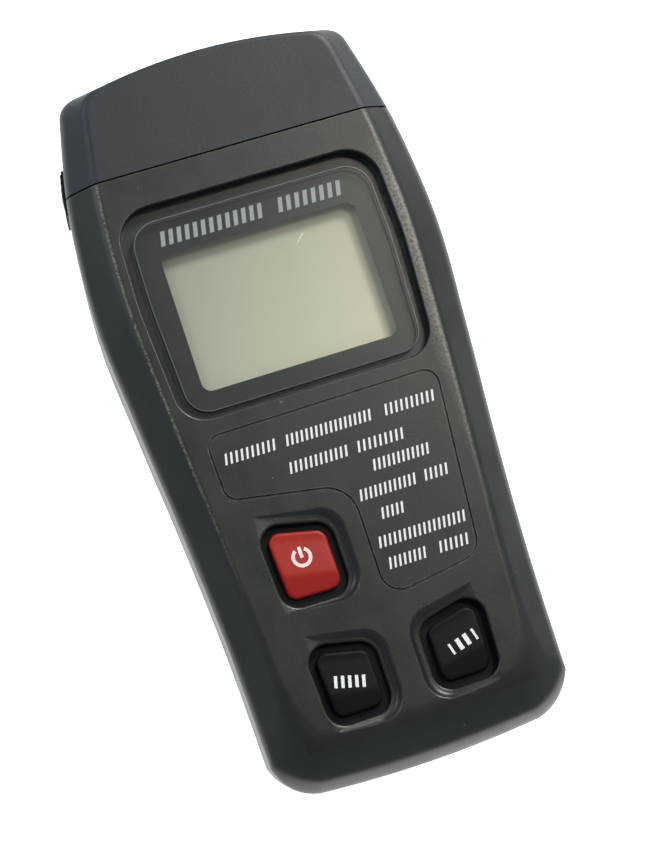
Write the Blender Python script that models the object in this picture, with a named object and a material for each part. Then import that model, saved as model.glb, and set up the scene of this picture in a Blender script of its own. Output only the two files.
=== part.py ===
"""A pocket two-pin moisture meter with a slip-on cap, lying on its back.

Metres, +Z up. The origin is on the surface it lies on, under the middle of its box. +Y points to the
pins, +Z out of the display. Sizes below are in millimetres, and MM turns them into metres.
"""

import math
from bisect import bisect_right

import bmesh
import bpy
from mathutils import Vector

MM = 0.001

# The case: a flat front panel, a bevel down to the widest line (the girth) and a rounded back.
THICKNESS = 29.0
WALL = 1.9
PARTING_Z = 19.5
PARTING_GAP = 0.3
GIRTH_SIDES = ((-57, 26.1), (-36, 26.7), (-16, 28.0), (5, 29.8), (23, 31.0), (41, 29.8), (51, 28.0), (61, 25.6))
PANEL_SIDES = ((-58, 20.7), (-39, 21.4), (-19, 22.8), (1, 24.3), (24, 25.5), (39, 24.9), (46, 24.1), (58, 22.2))
# corner and shoulder: where the end's edge stops, the point that the round turns about, where the side starts
GIRTH = {
    "sides": GIRTH_SIDES,
    "bottom": -63.8,
    "corner": ((19.5, -62.9), (24.4, -61.8), -56.6),
    "shoulder": ((22.4, 61.75), (25.6, 61.6), 58.6),
    "top": 63.8,
}
PANEL = {
    "sides": PANEL_SIDES,
    "bottom": -56.9,
    "corner": ((14.5, -56.4), (20.3, -56.0), -49.0),
    "shoulder": ((18.6, 61.2), (21.8, 60.6), 56.8),
    "top": 63.2,
}
# Each level of the case: height, how far from the panel's outline to the girth's, extra inset, and how
# a parallel surface one millimetre further in moves there, as inset and drop.
LEVELS = (
    (THICKNESS, 0.0, 0.0, 0.35, 1.0),
    (26.2, 0.81, 0.0, 0.8, 0.6),
    (25.3, 0.97, 0.0, 0.95, 0.35),
    (24.2, 1.0, 0.0, 1.0, 0.1),
    (10.0, 1.0, 0.45, 1.0, 0.0),
    (4.5, 1.0, 1.0, 1.0, -0.1),
    (1.9, 1.0, 1.75, 0.9, -0.4),
    (0.5, 1.0, 3.0, 0.6, -0.8),
    (0.0, 1.0, 4.4, 0.4, -1.0),
)
BOTTOM_STEPS, CORNER_STEPS, SIDE_STEPS, TOP_STEPS = 2, 5, 12, 4

# The cap and the neck that it slides over.
SEAM_Y = 45.2
SEAM_GAP = 0.3
CAP_WALL = 1.8
CAP_CLEARANCE = 0.4
NECK_TOP = 51.0
NECK_WALL_Y = 49.2
CAVITY_TOP = 41.8
NECK_HOLLOW = (21.0, 6.5, 22.5)
PAD_PROUD = 0.45
PAD_SET = 1.2
PAD_Y = (43.0, 50.8)
PAD_Z = (13.5, 23.0)
RIB_Y = (46.6, 47.8, 49.0, 50.2)
RIB_WIDTH = 0.5
RIB_PROUD = 0.25
RIB_SET = 0.3
RIB_END = 0.8
GAP = 0.3

# The display.
POCKET = ((-22.1, 1.2), (22.1, 1.2), (23.4, 22.0), (22.9, 39.0), (-22.9, 39.0), (-23.4, 22.0))
POCKET_RADII = (5.0, 5.0, 60.0, 6.0, 6.0, 60.0)
LENS = ((-20.6, 2.3), (20.6, 2.3), (21.5, 22.0), (21.2, 36.4), (-21.2, 36.4), (-21.5, 22.0))
LENS_RADII = (4.2, 4.2, 60.0, 4.6, 4.6, 60.0)
LENS_Z = (27.0, 28.4)
POCKET_FLOOR = 26.7
SEAT = ((-24.4, -0.5, 25.4), (24.4, 40.5, 27.7))
WINDOW = ((-18.3, 5.0), (18.3, 31.4))
LCD_GLASS = ((-19.6, 1.6, 23.5), (19.6, 34.9, 25.1))
LCD_FRAME = ((-21.4, 0.0, 22.2), (21.4, 36.3, 25.1))
ZEBRA = ((-18.0, 2.2, 22.2), (18.0, 4.4, 23.2))

# The keys. A well is the hole that shows a key, and the thumb dish beside it deepens towards the middle.
POWER_WELL = ((-16.1, -33.1), (-4.3, -33.3), (-4.3, -21.0), (-16.9, -18.1))
MODE_WELL = ((-14.9, -53.7), (-3.8, -53.7), (-3.8, -41.9), (-15.6, -39.2))
POWER_DISH = ((-17.5, -33.3), (-2.1, -34.9), (-2.1, -18.9), (-17.5, -15.9))
MODE_DISH = ((-15.6, -54.8), (-1.8, -55.5), (-1.8, -40.2), (-15.6, -37.3))
WELL_RADIUS = 3.2
DISH_RADII = (0.3, 4.6, 4.4, 0.3)
DISH_DEPTH = 1.1
KEY_INSET = 1.35
KEY_TOP = 28.7
KEY_EDGE = 0.35
SCOOP_DEPTH = 0.5
SCOOP_RADIUS = 26.0
SCOOP_LEAN = 13.0
SCOOP_SHIFT = 0.5
FLANGE_LAP = 0.9
FLANGE_Z = (26.1, 26.9)
STEM = 2.2
STEM_BOTTOM = 24.4
DOME = ((3.4, 22.2), (3.0, 23.4), (1.6, 24.1))

# The legend panel's outline, a fine groove in the front.
LEGEND = ((-19.6, -12.8), (0.65, -16.4), (0.6, -36.2), (17.75, -33.7), (21.0, -1.6), (-19.9, -1.8))
LEGEND_RADII = (2.5, 5.5, 3.6, 3.6, 2.4, 2.4)
GROOVE = 0.35

# The circuit board and what it carries underneath.
BOARD_RIGHT = ((22.4, -49.5), (22.4, -14.0), (26.6, -4.0), (26.6, 36.5))
BOARD_Z = (20.5, 21.9)
UNDER_BOARD = BOARD_Z[0] - GAP
CHIPS = {
    "amplifier_chip": ((-14.5, 24.0), (5.0, 4.0, 1.6)),
    "voltage_regulator": ((11.0, 29.0), (6.5, 3.6, 1.7)),
    "calibration_trimmer": ((-14.0, 12.0), (6.5, 6.5, 4.5)),
}
RESISTORS = ((-6.0, 31.0), (-1.5, 31.0), (3.0, 31.0), (17.5, 20.0))
RESISTOR_SIZE = (3.2, 1.6, 0.7)
BLOB_AT = (0.0, 19.0)
BLOB = ((2.0, -1.3), (4.2, -0.9), (5.2, 0.0))
CAPACITOR_AT = (14.0, 10.0)
CAPACITOR = ((3.0, -7.0), (3.3, -6.6), (3.3, 0.0))

# The battery, its compartment and the door.
BATTERY = ((-13.1, -58.4, 2.0), (13.1, -12.3, 19.0))
BATTERY_ROUND = 2.0
COMPARTMENT = ((-13.5, -58.8), (13.5, -5.5))
COMPARTMENT_WALL = 1.3
COMPARTMENT_ROOF = (19.3, 20.1)
LEDGE = ((-17.5, -61.0, 1.0), (17.5, -1.0, 3.4))
LEDGE_Z = 1.95
DOOR_HALF = 15.0
DOOR_TOP = -3.5
DOOR_THICK = 1.65
TONGUE = (8.0, 2.1, 1.0)
GRIP_Y = (-11.0, -13.0, -15.0, -17.0, -19.0)
GRIP_GROOVE = (7.0, 0.9, 0.6)
LEAD_NOTCH = ((-6.0, -6.5, 11.0), (6.0, -3.0, 16.0))
STUD_X = 6.35
STUD_Z = 10.5
ROUND_STUD = ((2.9, 0.0), (2.9, 1.9), (2.6, 2.3))
SOCKET_STUD = ((4.0, 0.0), (4.3, 2.3))
SNAP = ((-12.0, -9.3, 5.0), (12.0, -7.6, 16.0))
BATTERY_LEAD_RADIUS = 0.7
BATTERY_LEAD = ((3.0, -7.2, 13.5), (3.0, -3.0, 13.6), (3.6, 2.0, 15.5), (4.2, 5.5, 18.5), (4.2, 6.5, 20.2))

# The probe head.
PIN_X = 13.0
PIN_Z = 14.5
PIN_HOLE = 1.3
PIN = ((1.0, 43.0), (1.0, 55.5), (0.55, 58.9), (0.08, 60.5))
BLOCK_FLANGE = ((-20.0, 46.3, 7.5), (20.0, 48.9, 21.5))
BLOCK_NOSE = ((-18.0, 48.0, 9.0), (18.0, 52.8, 20.0))
COLLAR = ((3.0, 53.1), (3.2, 53.4), (3.2, 54.7), (2.4, 55.2))
NUT = ((2.9, 43.9), (2.9, 46.0))
PIN_LEAD_RADIUS = 0.6
PIN_LEAD = ((13.0, 42.6, PIN_Z), (12.5, 39.0, 15.2), (11.0, 35.6, 17.8), (10.7, 34.6, 20.2))

# Fasteners. The last number of a board screw is the height where its boss joins the front wall.
CASE_SCREWS = ((-21.5, 41.0), (21.5, 41.0), (-18.9, -55.0), (18.9, -55.0))
CASE_SCREW_HOLE = 1.45
CASE_SCREW_DEPTH = 25.4
CASE_SCREW = ((2.3, -1.7), (2.3, 0.0), (1.15, 0.01), (1.15, 16.5), (0.5, 17.3))
CASE_SCREW_SLOT = (0.5, 2.6, 0.7)
CASE_BOSS = (3.3, 27.6)
REAR_BOSS = 3.6
REAR_HOLE = 1.5
BOARD_SCREWS = ((-24.4, 20.0, 26.2), (24.4, 20.0, 26.2), (-20.2, -36.0, 27.6), (20.2, -36.0, 27.6))
BOARD_SCREW_HOLE = 1.15
BOARD_SCREW_DEPTH = 24.8
BOARD_SCREW = ((1.9, -1.4), (1.9, 0.0), (0.85, 0.01), (0.85, 3.8), (0.4, 4.3))
BOARD_SCREW_SLOT = (0.4, 2.2, 0.6)
BOARD_BOSS = 2.2
BOARD_HOLE = 1.2
COUNTERBORE = (2.7, 8.0)

# Colour, roughness and metallic value of each material.
FINISHES = {
    "case_front": ((0.066, 0.063, 0.056), 0.5, 0.0),
    "case_rear": ((0.045, 0.055, 0.060), 0.5, 0.0),
    "cap": ((0.049, 0.060, 0.070), 0.45, 0.0),
    "lens": ((0.060, 0.075, 0.075), 0.15, 0.0),
    "lcd": ((0.46, 0.48, 0.34), 0.3, 0.0),
    "red_key": ((0.34, 0.028, 0.022), 0.45, 0.0),
    "black_key": ((0.012, 0.015, 0.017), 0.45, 0.0),
    "silicone": ((0.25, 0.25, 0.24), 0.7, 0.0),
    "board": ((0.02, 0.12, 0.05), 0.5, 0.0),
    "chip": ((0.01, 0.01, 0.01), 0.4, 0.0),
    "ceramic": ((0.15, 0.13, 0.11), 0.5, 0.0),
    "trimmer": ((0.05, 0.14, 0.45), 0.4, 0.0),
    "steel": ((0.60, 0.60, 0.58), 0.25, 1.0),
    "brass": ((0.70, 0.52, 0.25), 0.3, 1.0),
    "zinc_screw": ((0.45, 0.45, 0.44), 0.35, 1.0),
    "block": ((0.010, 0.010, 0.011), 0.5, 0.0),
    "battery_can": ((0.10, 0.11, 0.13), 0.35, 0.0),
    "rubber": ((0.02, 0.02, 0.02), 0.8, 0.0),
    "red_wire": ((0.45, 0.02, 0.02), 0.5, 0.0),
    "black_wire": ((0.012, 0.012, 0.012), 0.5, 0.0),
}


# ---- Objects, materials and Booleans ----


def clear_scene():
    for obj in list(bpy.data.objects):
        bpy.data.objects.remove(obj, do_unlink=True)


def material(name):
    made = bpy.data.materials.get(name)
    if made is None:
        colour, roughness, metallic = FINISHES[name]
        made = bpy.data.materials.new(name)
        made.use_nodes = True
        shader = made.node_tree.nodes["Principled BSDF"]
        shader.inputs["Base Color"].default_value = (*colour, 1.0)
        shader.inputs["Roughness"].default_value = roughness
        shader.inputs["Metallic"].default_value = metallic
    return made


def add_object(name, bm):
    """An object from a bmesh in millimetres, with its faces turned outwards."""
    bmesh.ops.recalc_face_normals(bm, faces=bm.faces)
    bmesh.ops.scale(bm, vec=Vector((MM, MM, MM)), verts=bm.verts)
    mesh = bpy.data.meshes.new(name)
    bm.to_mesh(mesh)
    bm.free()
    obj = bpy.data.objects.new(name, mesh)
    bpy.context.scene.collection.objects.link(obj)
    return obj


def boolean(obj, other, operation):
    """Applies a Boolean with the other object, and removes that object."""
    modifier = obj.modifiers.new(operation, "BOOLEAN")
    modifier.operation = operation
    modifier.object = other
    modifier.solver = "EXACT"
    graph = bpy.context.evaluated_depsgraph_get()
    result = bpy.data.meshes.new_from_object(obj.evaluated_get(graph))
    obj.modifiers.clear()
    obj.data = result
    bpy.data.objects.remove(other, do_unlink=True)
    return obj


def cut(obj, other):
    return boolean(obj, other, "DIFFERENCE")


def join(obj, other):
    return boolean(obj, other, "UNION")


def keep(obj, other):
    return boolean(obj, other, "INTERSECT")


def copy_of(obj, name):
    twin = bpy.data.objects.new(name, obj.data.copy())
    bpy.context.scene.collection.objects.link(twin)
    return twin


def finish(obj, name, finish_name, sharp_degrees=35.0):
    """Names the object, gives it its material, and shades it smooth between its sharp edges."""
    obj.name = name
    obj.data.name = name
    obj.data.materials.clear()
    obj.data.materials.append(material(finish_name))
    obj.data.shade_smooth()
    obj.data.set_sharp_from_angle(angle=math.radians(sharp_degrees))
    return obj


def set_origin(obj, point):
    """Moves the object's origin to a point in millimetres, leaving its shape where it is."""
    place = Vector(point) * MM
    for vertex in obj.data.vertices:
        vertex.co -= place
    obj.location = place
    return obj


# ---- Shapes ----


def loft(rings):
    """A closed solid through rings of (x, y, z) points, each ring with the same number of points."""
    bm = bmesh.new()
    loops = [[bm.verts.new(point) for point in ring] for ring in rings]
    count = len(loops[0])
    for lower, upper in zip(loops, loops[1:]):
        for i in range(count):
            j = (i + 1) % count
            bm.faces.new((lower[i], lower[j], upper[j], upper[i]))
    bm.faces.new(loops[0])
    bm.faces.new(loops[-1])
    return add_object("loft", bm)


def prism(outline, low, high):
    """An upright solid on an outline of (x, y) points."""
    return loft([[(x, y, z) for x, y in outline] for z in (low, high)])


def box(low, high):
    (x0, y0, z0), (x1, y1, z1) = low, high
    return prism(((x0, y0), (x1, y0), (x1, y1), (x0, y1)), z0, z1)


def turned(profile, at, axis="Z", sides=16, hole=0.0):
    """A round solid from (radius, height) points, about an axis through a point; a hole makes it a sleeve."""
    bm = bmesh.new()
    rings = []
    inside = [(hole, profile[-1][1]), (hole, profile[0][1])] if hole else []
    for radius, height in (*profile, *inside):
        ring = []
        for i in range(sides):
            turn = 2 * math.pi * i / sides
            across, over = radius * math.cos(turn), radius * math.sin(turn)
            offset = (across, over, height) if axis == "Z" else (across, height, over)
            ring.append(bm.verts.new(Vector(at) + Vector(offset)))
        rings.append(ring)
    pairs = list(zip(rings, rings[1:]))
    if hole:
        pairs.append((rings[-1], rings[0]))
    for lower, upper in pairs:
        for i in range(sides):
            j = (i + 1) % sides
            bm.faces.new((lower[i], lower[j], upper[j], upper[i]))
    if not hole:
        bm.faces.new(rings[0])
        bm.faces.new(rings[-1])
    return add_object("turned", bm)


def rounded(corners, radii, steps=5):
    """An outline whose corners are arcs; a very large radius is limited to half of its shorter side."""
    outline = []
    count = len(corners)
    for i, radius in enumerate(radii):
        before, corner, after = (Vector(corners[(i + k) % count]) for k in (-1, 0, 1))
        back, ahead = before - corner, after - corner
        half = back.angle(ahead) / 2
        reach = min(radius / math.tan(half), 0.45 * min(back.length, ahead.length))
        start = corner + back.normalized() * reach
        end = corner + ahead.normalized() * reach
        centre = corner + (back.normalized() + ahead.normalized()).normalized() * reach / math.cos(half)
        sweep = (start - centre).angle_signed(end - centre)
        for step in range(steps + 1):
            turn = -sweep * step / steps
            arm = start - centre
            cos, sin = math.cos(turn), math.sin(turn)
            outline.append((centre.x + arm.x * cos - arm.y * sin, centre.y + arm.x * sin + arm.y * cos))
    return outline


def inset(outline, distance):
    """The outline moved inwards by a distance; a negative one moves it outwards."""
    moved = []
    count = len(outline)
    for i in range(count):
        before, here, after = (Vector(outline[(i + k) % count]) for k in (-1, 0, 1))
        first = (here - before).normalized()
        second = (after - here).normalized()
        inward = Vector((-first.y - second.y, first.x + second.x)).normalized()
        lean = max(inward.dot(Vector((-first.y, first.x))), 0.5)
        place = here + inward * distance / lean
        moved.append((place.x, place.y))
    return moved


def mirrored(outline):
    """The outline on the other side of the centre line, still anticlockwise."""
    return [(-x, y) for x, y in reversed(outline)]


def smooth(stations, place):
    """The value at a place on a smooth curve through (place, value) stations."""
    places = [station[0] for station in stations]
    last = len(stations) - 1
    i = min(max(bisect_right(places, place) - 1, 0), last - 1)

    def slope(k):
        low, high = max(k - 1, 0), min(k + 1, last)
        return (stations[high][1] - stations[low][1]) / (stations[high][0] - stations[low][0])

    (y0, v0), (y1, v1) = stations[i], stations[i + 1]
    span = y1 - y0
    t = (place - y0) / span
    return (
        v0 * (1 + 2 * t) * (1 - t) ** 2
        + v1 * t * t * (3 - 2 * t)
        + span * slope(i) * t * (1 - t) ** 2
        - span * slope(i + 1) * t * t * (1 - t)
    )


def bend(start, turn, end, steps):
    """A round corner from start to end, without its end point."""
    points = []
    for step in range(steps):
        t = step / steps
        point = [(1 - t) ** 2 * a + 2 * t * (1 - t) * b + t * t * c for a, b, c in zip(start, turn, end)]
        points.append(tuple(point))
    return points


def case_outline(shape):
    """The anticlockwise outline of one level of the case, from the middle of its bottom edge."""
    corner_end, corner_turn, side_start = shape["corner"]
    shoulder_end, shoulder_turn, side_end = shape["shoulder"]
    half = []
    for step in range(BOTTOM_STEPS):
        t = step / BOTTOM_STEPS
        half.append((corner_end[0] * t, shape["bottom"] + (corner_end[1] - shape["bottom"]) * t * t))
    side_foot = (smooth(shape["sides"], side_start), side_start)
    half += bend(corner_end, corner_turn, side_foot, CORNER_STEPS)
    for step in range(SIDE_STEPS):
        y = side_start + (side_end - side_start) * step / SIDE_STEPS
        half.append((smooth(shape["sides"], y), y))
    side_head = (smooth(shape["sides"], side_end), side_end)
    half += bend(side_head, shoulder_turn, shoulder_end, CORNER_STEPS)
    for step in range(TOP_STEPS + 1):
        t = 1 - step / TOP_STEPS
        half.append((shoulder_end[0] * t, shape["top"] - (shape["top"] - shoulder_end[1]) * t * t))
    return half + [(-x, y) for x, y in reversed(half[1:-1])]


def case_solid(depth=0.0, low_y=-80.0, high_y=80.0):
    """The solid inside a surface parallel to the case's outside, a depth below it, between two heights along Y."""
    panel, girth = case_outline(PANEL), case_outline(GIRTH)
    rings = []
    for height, share, narrower, inset_share, drop_share in LEVELS:
        level = [(a[0] + (b[0] - a[0]) * share, a[1] + (b[1] - a[1]) * share) for a, b in zip(panel, girth)]
        level = inset(level, narrower + depth * inset_share)
        rings.append([(x, y, height - depth * drop_share) for x, y in level])
    solid = loft(rings)
    if low_y > -70 or high_y < 70:
        keep(solid, box((-50, low_y, -20), (50, high_y, 50)))
    return solid


# ---- The case ----


def whole_case():
    """Both halves of the case in one, hollow, with the neck for the cap and the opening for the probe head."""
    case = case_solid(0.0, high_y=SEAM_Y - SEAM_GAP / 2)
    join(case, case_solid(CAP_WALL + CAP_CLEARANCE, SEAM_Y - 6.0, NECK_TOP))
    cut(case, case_solid(WALL, high_y=CAVITY_TOP))
    half, low, high = NECK_HOLLOW
    cut(case, box((-half, CAVITY_TOP - 1.0, low), (half, NECK_WALL_Y, high)))
    (x0, _, z0), (x1, y1, z1) = BLOCK_NOSE
    cut(case, box((x0 - GAP, NECK_WALL_Y - 1.0, z0 - GAP), (x1 + GAP, y1, z1 + GAP)))
    for side in (-1, 1):
        cut(case, cap_pad(side, GAP, SEAM_Y + 3.0))
    return case


def cap_pad(side, room, high_y):
    """The grip pad on one side of the cap, or with room around it the notch that its lower end fits."""
    pad = case_solid(-PAD_PROUD - 2 * room, PAD_Y[0] - room, high_y)
    cut(pad, case_solid(PAD_SET + room))
    near, far = sorted((20.0 * side, 40.0 * side))
    return keep(pad, box((near, 30.0, PAD_Z[0] - room), (far, 60.0, PAD_Z[1] + room)))


def legend_groove():
    outline = rounded(LEGEND, LEGEND_RADII, 4)
    groove = prism(inset(outline, -GROOVE / 2), THICKNESS - GROOVE, THICKNESS + 1.0)
    return cut(groove, prism(inset(outline, GROOVE / 2), 0.0, 40.0))


def dish(outline):
    """A thumb dish: its floor starts at the panel on the outer side and deepens towards the middle."""
    xs = [x for x, _ in outline]
    outer, inner = (min(xs), max(xs)) if max(xs) < 0 else (max(xs), min(xs))
    floor = [(x, y, THICKNESS - DISH_DEPTH * (x - outer) / (inner - outer) + 0.001) for x, y in outline]
    return loft([floor, [(x, y, THICKNESS + 1.0) for x, y in outline]])


def front_housing(case):
    front = keep(copy_of(case, "front"), box((-50, -80, PARTING_Z + PARTING_GAP / 2), (50, 80, 50)))
    join(front, box(*SEAT))
    radius, top = CASE_BOSS
    for x, y in CASE_SCREWS:
        join(front, turned(((radius, PARTING_Z + PARTING_GAP / 2), (radius, top)), (x, y, 0)))
    for x, y, top in BOARD_SCREWS:
        join(front, turned(((BOARD_BOSS, BOARD_Z[1] + GAP), (BOARD_BOSS, top)), (x, y, 0), sides=12))
    cut(front, prism(rounded(POCKET, POCKET_RADII), POCKET_FLOOR, 40.0))
    (x0, y0), (x1, y1) = WINDOW
    cut(front, prism(rounded(((x0, y0), (x1, y0), (x1, y1), (x0, y1)), (1.7,) * 4, 3), 20.0, 40.0))
    for outline in dish_outlines():
        cut(front, dish(outline))
    for outline in well_outlines().values():
        cut(front, prism(outline, 24.0, 40.0))
    cut(front, legend_groove())
    for x, y in CASE_SCREWS:
        cut(front, turned(((CASE_SCREW_HOLE, 10.0), (CASE_SCREW_HOLE, CASE_SCREW_DEPTH)), (x, y, 0), sides=10))
    for x, y, _ in BOARD_SCREWS:
        cut(front, turned(((BOARD_SCREW_HOLE, 10.0), (BOARD_SCREW_HOLE, BOARD_SCREW_DEPTH)), (x, y, 0), sides=10))
    return finish(front, "front_housing", "case_front")


def rear_housing(case):
    rear = keep(copy_of(case, "rear"), box((-50, -80, -20), (50, 80, PARTING_Z - PARTING_GAP / 2)))
    (x0, y0), (x1, y1) = COMPARTMENT
    wall = COMPARTMENT_WALL
    join(rear, box(*LEDGE))
    join(rear, box((x0 - wall, y0 - wall, 2.5), (x1 + wall, y1 + wall, COMPARTMENT_ROOF[1])))
    for x, y in CASE_SCREWS:
        join(rear, turned(((REAR_BOSS, 1.0), (REAR_BOSS, PARTING_Z - PARTING_GAP / 2 - 0.05)), (x, y, 0)))
    cut(rear, box((x0, y0, -5.0), (x1, y1, COMPARTMENT_ROOF[0])))
    cut(rear, box((-DOOR_HALF - GAP, -80.0, -5.0), (DOOR_HALF + GAP, DOOR_TOP + GAP, LEDGE_Z)))
    half, length, low = TONGUE
    cut(rear, box((-half - GAP, DOOR_TOP - 1.0, low - GAP), (half + GAP, DOOR_TOP + length + GAP, LEDGE_Z)))
    cut(rear, box(*LEAD_NOTCH))
    radius, depth = COUNTERBORE
    for x, y in CASE_SCREWS:
        cut(rear, turned(((radius, -2.0), (radius, depth)), (x, y, 0)))
        cut(rear, turned(((REAR_HOLE, 5.0), (REAR_HOLE, 30.0)), (x, y, 0), sides=10))
    return finish(rear, "rear_housing", "case_rear")


def battery_door():
    door = case_solid(0.0, high_y=DOOR_TOP)
    keep(door, box((-DOOR_HALF, -80, -5), (DOOR_HALF, 0, DOOR_THICK)))
    half, length, low = TONGUE
    join(door, box((-half, DOOR_TOP - 2.0, low), (half, DOOR_TOP + length, DOOR_THICK)))
    half, width, depth = GRIP_GROOVE
    for y in GRIP_Y:
        cut(door, box((-half, y, -1.0), (half, y + width, depth)))
    finish(door, "battery_door", "case_rear")
    return set_origin(door, (0.0, DOOR_TOP, 0.0))


def protective_cap():
    cap = case_solid(0.0, low_y=SEAM_Y + SEAM_GAP / 2)
    cut(cap, case_solid(CAP_WALL))
    for side in (-1, 1):
        join(cap, cap_pad(side, 0.0, PAD_Y[1]))
        for y in RIB_Y:
            rib = case_solid(-PAD_PROUD - RIB_PROUD, y - RIB_WIDTH / 2, y + RIB_WIDTH / 2)
            cut(rib, case_solid(RIB_SET))
            near, far = sorted((20.0 * side, 40.0 * side))
            keep(rib, box((near, 30.0, PAD_Z[0] + RIB_END), (far, 60.0, PAD_Z[1] - RIB_END)))
            join(cap, rib)
    finish(cap, "protective_cap", "cap")
    return set_origin(cap, (0.0, SEAM_Y, THICKNESS / 2))


# ---- The display ----


def display():
    lens = prism(rounded(LENS, LENS_RADII), *LENS_Z)
    finish(lens, "display_lens", "lens")
    finish(box(*LCD_GLASS), "lcd_glass", "lcd")
    (x0, y0, z0), (x1, y1, z1) = LCD_FRAME
    frame = box(*LCD_FRAME)
    (gx0, gy0, _), (gx1, gy1, _) = LCD_GLASS
    cut(frame, box((gx0 - GAP, gy0 - GAP, z0 - 1), (gx1 + GAP, gy1 + GAP, z1 + 1)))
    finish(frame, "lcd_frame", "block")
    finish(box(*ZEBRA), "zebra_connector", "silicone")


# ---- The keys ----


def well_outlines():
    power = rounded(POWER_WELL, (WELL_RADIUS,) * 4, 4)
    mode = rounded(MODE_WELL, (WELL_RADIUS,) * 4, 4)
    return {"power": power, "mode": mode, "hold": mirrored(mode)}


def dish_outlines():
    mode = rounded(MODE_DISH, DISH_RADII, 4)
    return (rounded(POWER_DISH, DISH_RADII, 4), mode, mirrored(mode))


def middle(outline):
    xs = [x for x, _ in outline]
    ys = [y for _, y in outline]
    return (min(xs) + max(xs)) / 2, (min(ys) + max(ys)) / 2


def key(name, outline, lean, finish_name):
    """A key cap: flange under the front wall, raised body with a scooped top, and a stem down to its dome."""
    x, y = middle(outline)
    body = inset(outline, KEY_INSET)
    top = inset(outline, KEY_INSET + KEY_EDGE)
    rings = []
    for ring, height in ((body, FLANGE_Z[0] + 0.2), (body, KEY_TOP - KEY_EDGE), (top, KEY_TOP)):
        rings.append([(px, py, height) for px, py in ring])
    cap = loft(rings)
    scoop = turned(((SCOOP_RADIUS, -20.0), (SCOOP_RADIUS, 20.0)), (0, 0, 0), axis="Y", sides=64)
    scoop.rotation_euler = (0.0, 0.0, math.radians(90.0 + lean))
    scoop.location = Vector((x, y + SCOOP_SHIFT, KEY_TOP - SCOOP_DEPTH + SCOOP_RADIUS)) * MM
    cut(cap, scoop)
    join(cap, prism(inset(outline, -FLANGE_LAP), *FLANGE_Z))
    join(cap, turned(((STEM, STEM_BOTTOM), (STEM, FLANGE_Z[0] + 0.3)), (x, y, 0), sides=16))
    finish(cap, name + "_button", finish_name)
    set_origin(cap, (x, y, KEY_TOP))
    finish(turned(DOME, (x, y, 0)), name + "_dome", "silicone")


def keys():
    wells = well_outlines()
    key("power", wells["power"], -SCOOP_LEAN, "red_key")
    key("mode", wells["mode"], -SCOOP_LEAN, "black_key")
    key("hold", wells["hold"], SCOOP_LEAN, "black_key")


# ---- The board ----


def board_and_parts():
    board = prism((*BOARD_RIGHT, *mirrored(BOARD_RIGHT)), *BOARD_Z)
    for x, y, _ in BOARD_SCREWS:
        cut(board, turned(((BOARD_HOLE, 15.0), (BOARD_HOLE, 30.0)), (x, y, 0), sides=12))
    finish(board, "circuit_board", "board")
    for name, ((x, y), (length, width, height)) in CHIPS.items():
        low = (x - length / 2, y - width / 2, UNDER_BOARD - height)
        part = box(low, (x + length / 2, y + width / 2, UNDER_BOARD))
        finish(part, name, "trimmer" if name == "calibration_trimmer" else "chip")
    for number, (x, y) in enumerate(RESISTORS, 1):
        length, width, height = RESISTOR_SIZE
        low = (x - length / 2, y - width / 2, UNDER_BOARD - height)
        part = box(low, (x + length / 2, y + width / 2, UNDER_BOARD))
        finish(part, f"chip_resistor_{number}", "ceramic")
    finish(turned(BLOB, (*BLOB_AT, UNDER_BOARD), sides=20), "controller_chip", "chip")
    finish(turned(CAPACITOR, (*CAPACITOR_AT, UNDER_BOARD), sides=20), "electrolytic_capacitor", "battery_can")


def wire(name, route, radius, finish_name):
    """A round wire along a smooth curve through its route."""
    spline_points = []
    for i in range(len(route) - 1):
        before, start, end, after = (Vector(route[min(max(i + k, 0), len(route) - 1)]) for k in (-1, 0, 1, 2))
        for step in range(4):
            t = step / 4
            point = 0.5 * (
                2 * start
                + (end - before) * t
                + (2 * before - 5 * start + 4 * end - after) * t * t
                + (3 * start - before - 3 * end + after) * t ** 3
            )
            spline_points.append(point)
    spline_points.append(Vector(route[-1]))
    curve = bpy.data.curves.new(name, "CURVE")
    curve.dimensions = "3D"
    curve.bevel_depth = radius * MM
    curve.bevel_resolution = 2
    curve.use_fill_caps = True
    curve.materials.append(material(finish_name))
    spline = curve.splines.new("POLY")
    spline.points.add(len(spline_points) - 1)
    for target, point in zip(spline.points, spline_points):
        target.co = (*(point * MM), 1.0)
    obj = bpy.data.objects.new(name, curve)
    bpy.context.scene.collection.objects.link(obj)


# ---- The battery ----


def battery():
    (x0, y0, z0), (x1, y1, z1) = BATTERY
    ends = rounded(((x0, z0), (x1, z0), (x1, z1), (x0, z1)), (BATTERY_ROUND,) * 4, 3)
    can = loft([[(x, y, z) for x, z in ends] for y in (y0, y1)])
    finish(can, "battery", "battery_can")
    stud_y = y1 + GAP
    stud = turned(ROUND_STUD, (STUD_X, stud_y, STUD_Z), axis="Y", sides=16)
    finish(stud, "battery_stud_positive", "steel")
    stud = turned(SOCKET_STUD, (-STUD_X, stud_y, STUD_Z), axis="Y", sides=6)
    finish(stud, "battery_stud_negative", "steel")
    finish(box(*SNAP), "battery_snap", "rubber")
    for side, name, finish_name in ((-1, "red", "red_wire"), (1, "black", "black_wire")):
        route = [(x * side, y, z) for x, y, z in BATTERY_LEAD]
        wire(f"battery_lead_{name}", route, BATTERY_LEAD_RADIUS, finish_name)


# ---- The probe head ----


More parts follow.
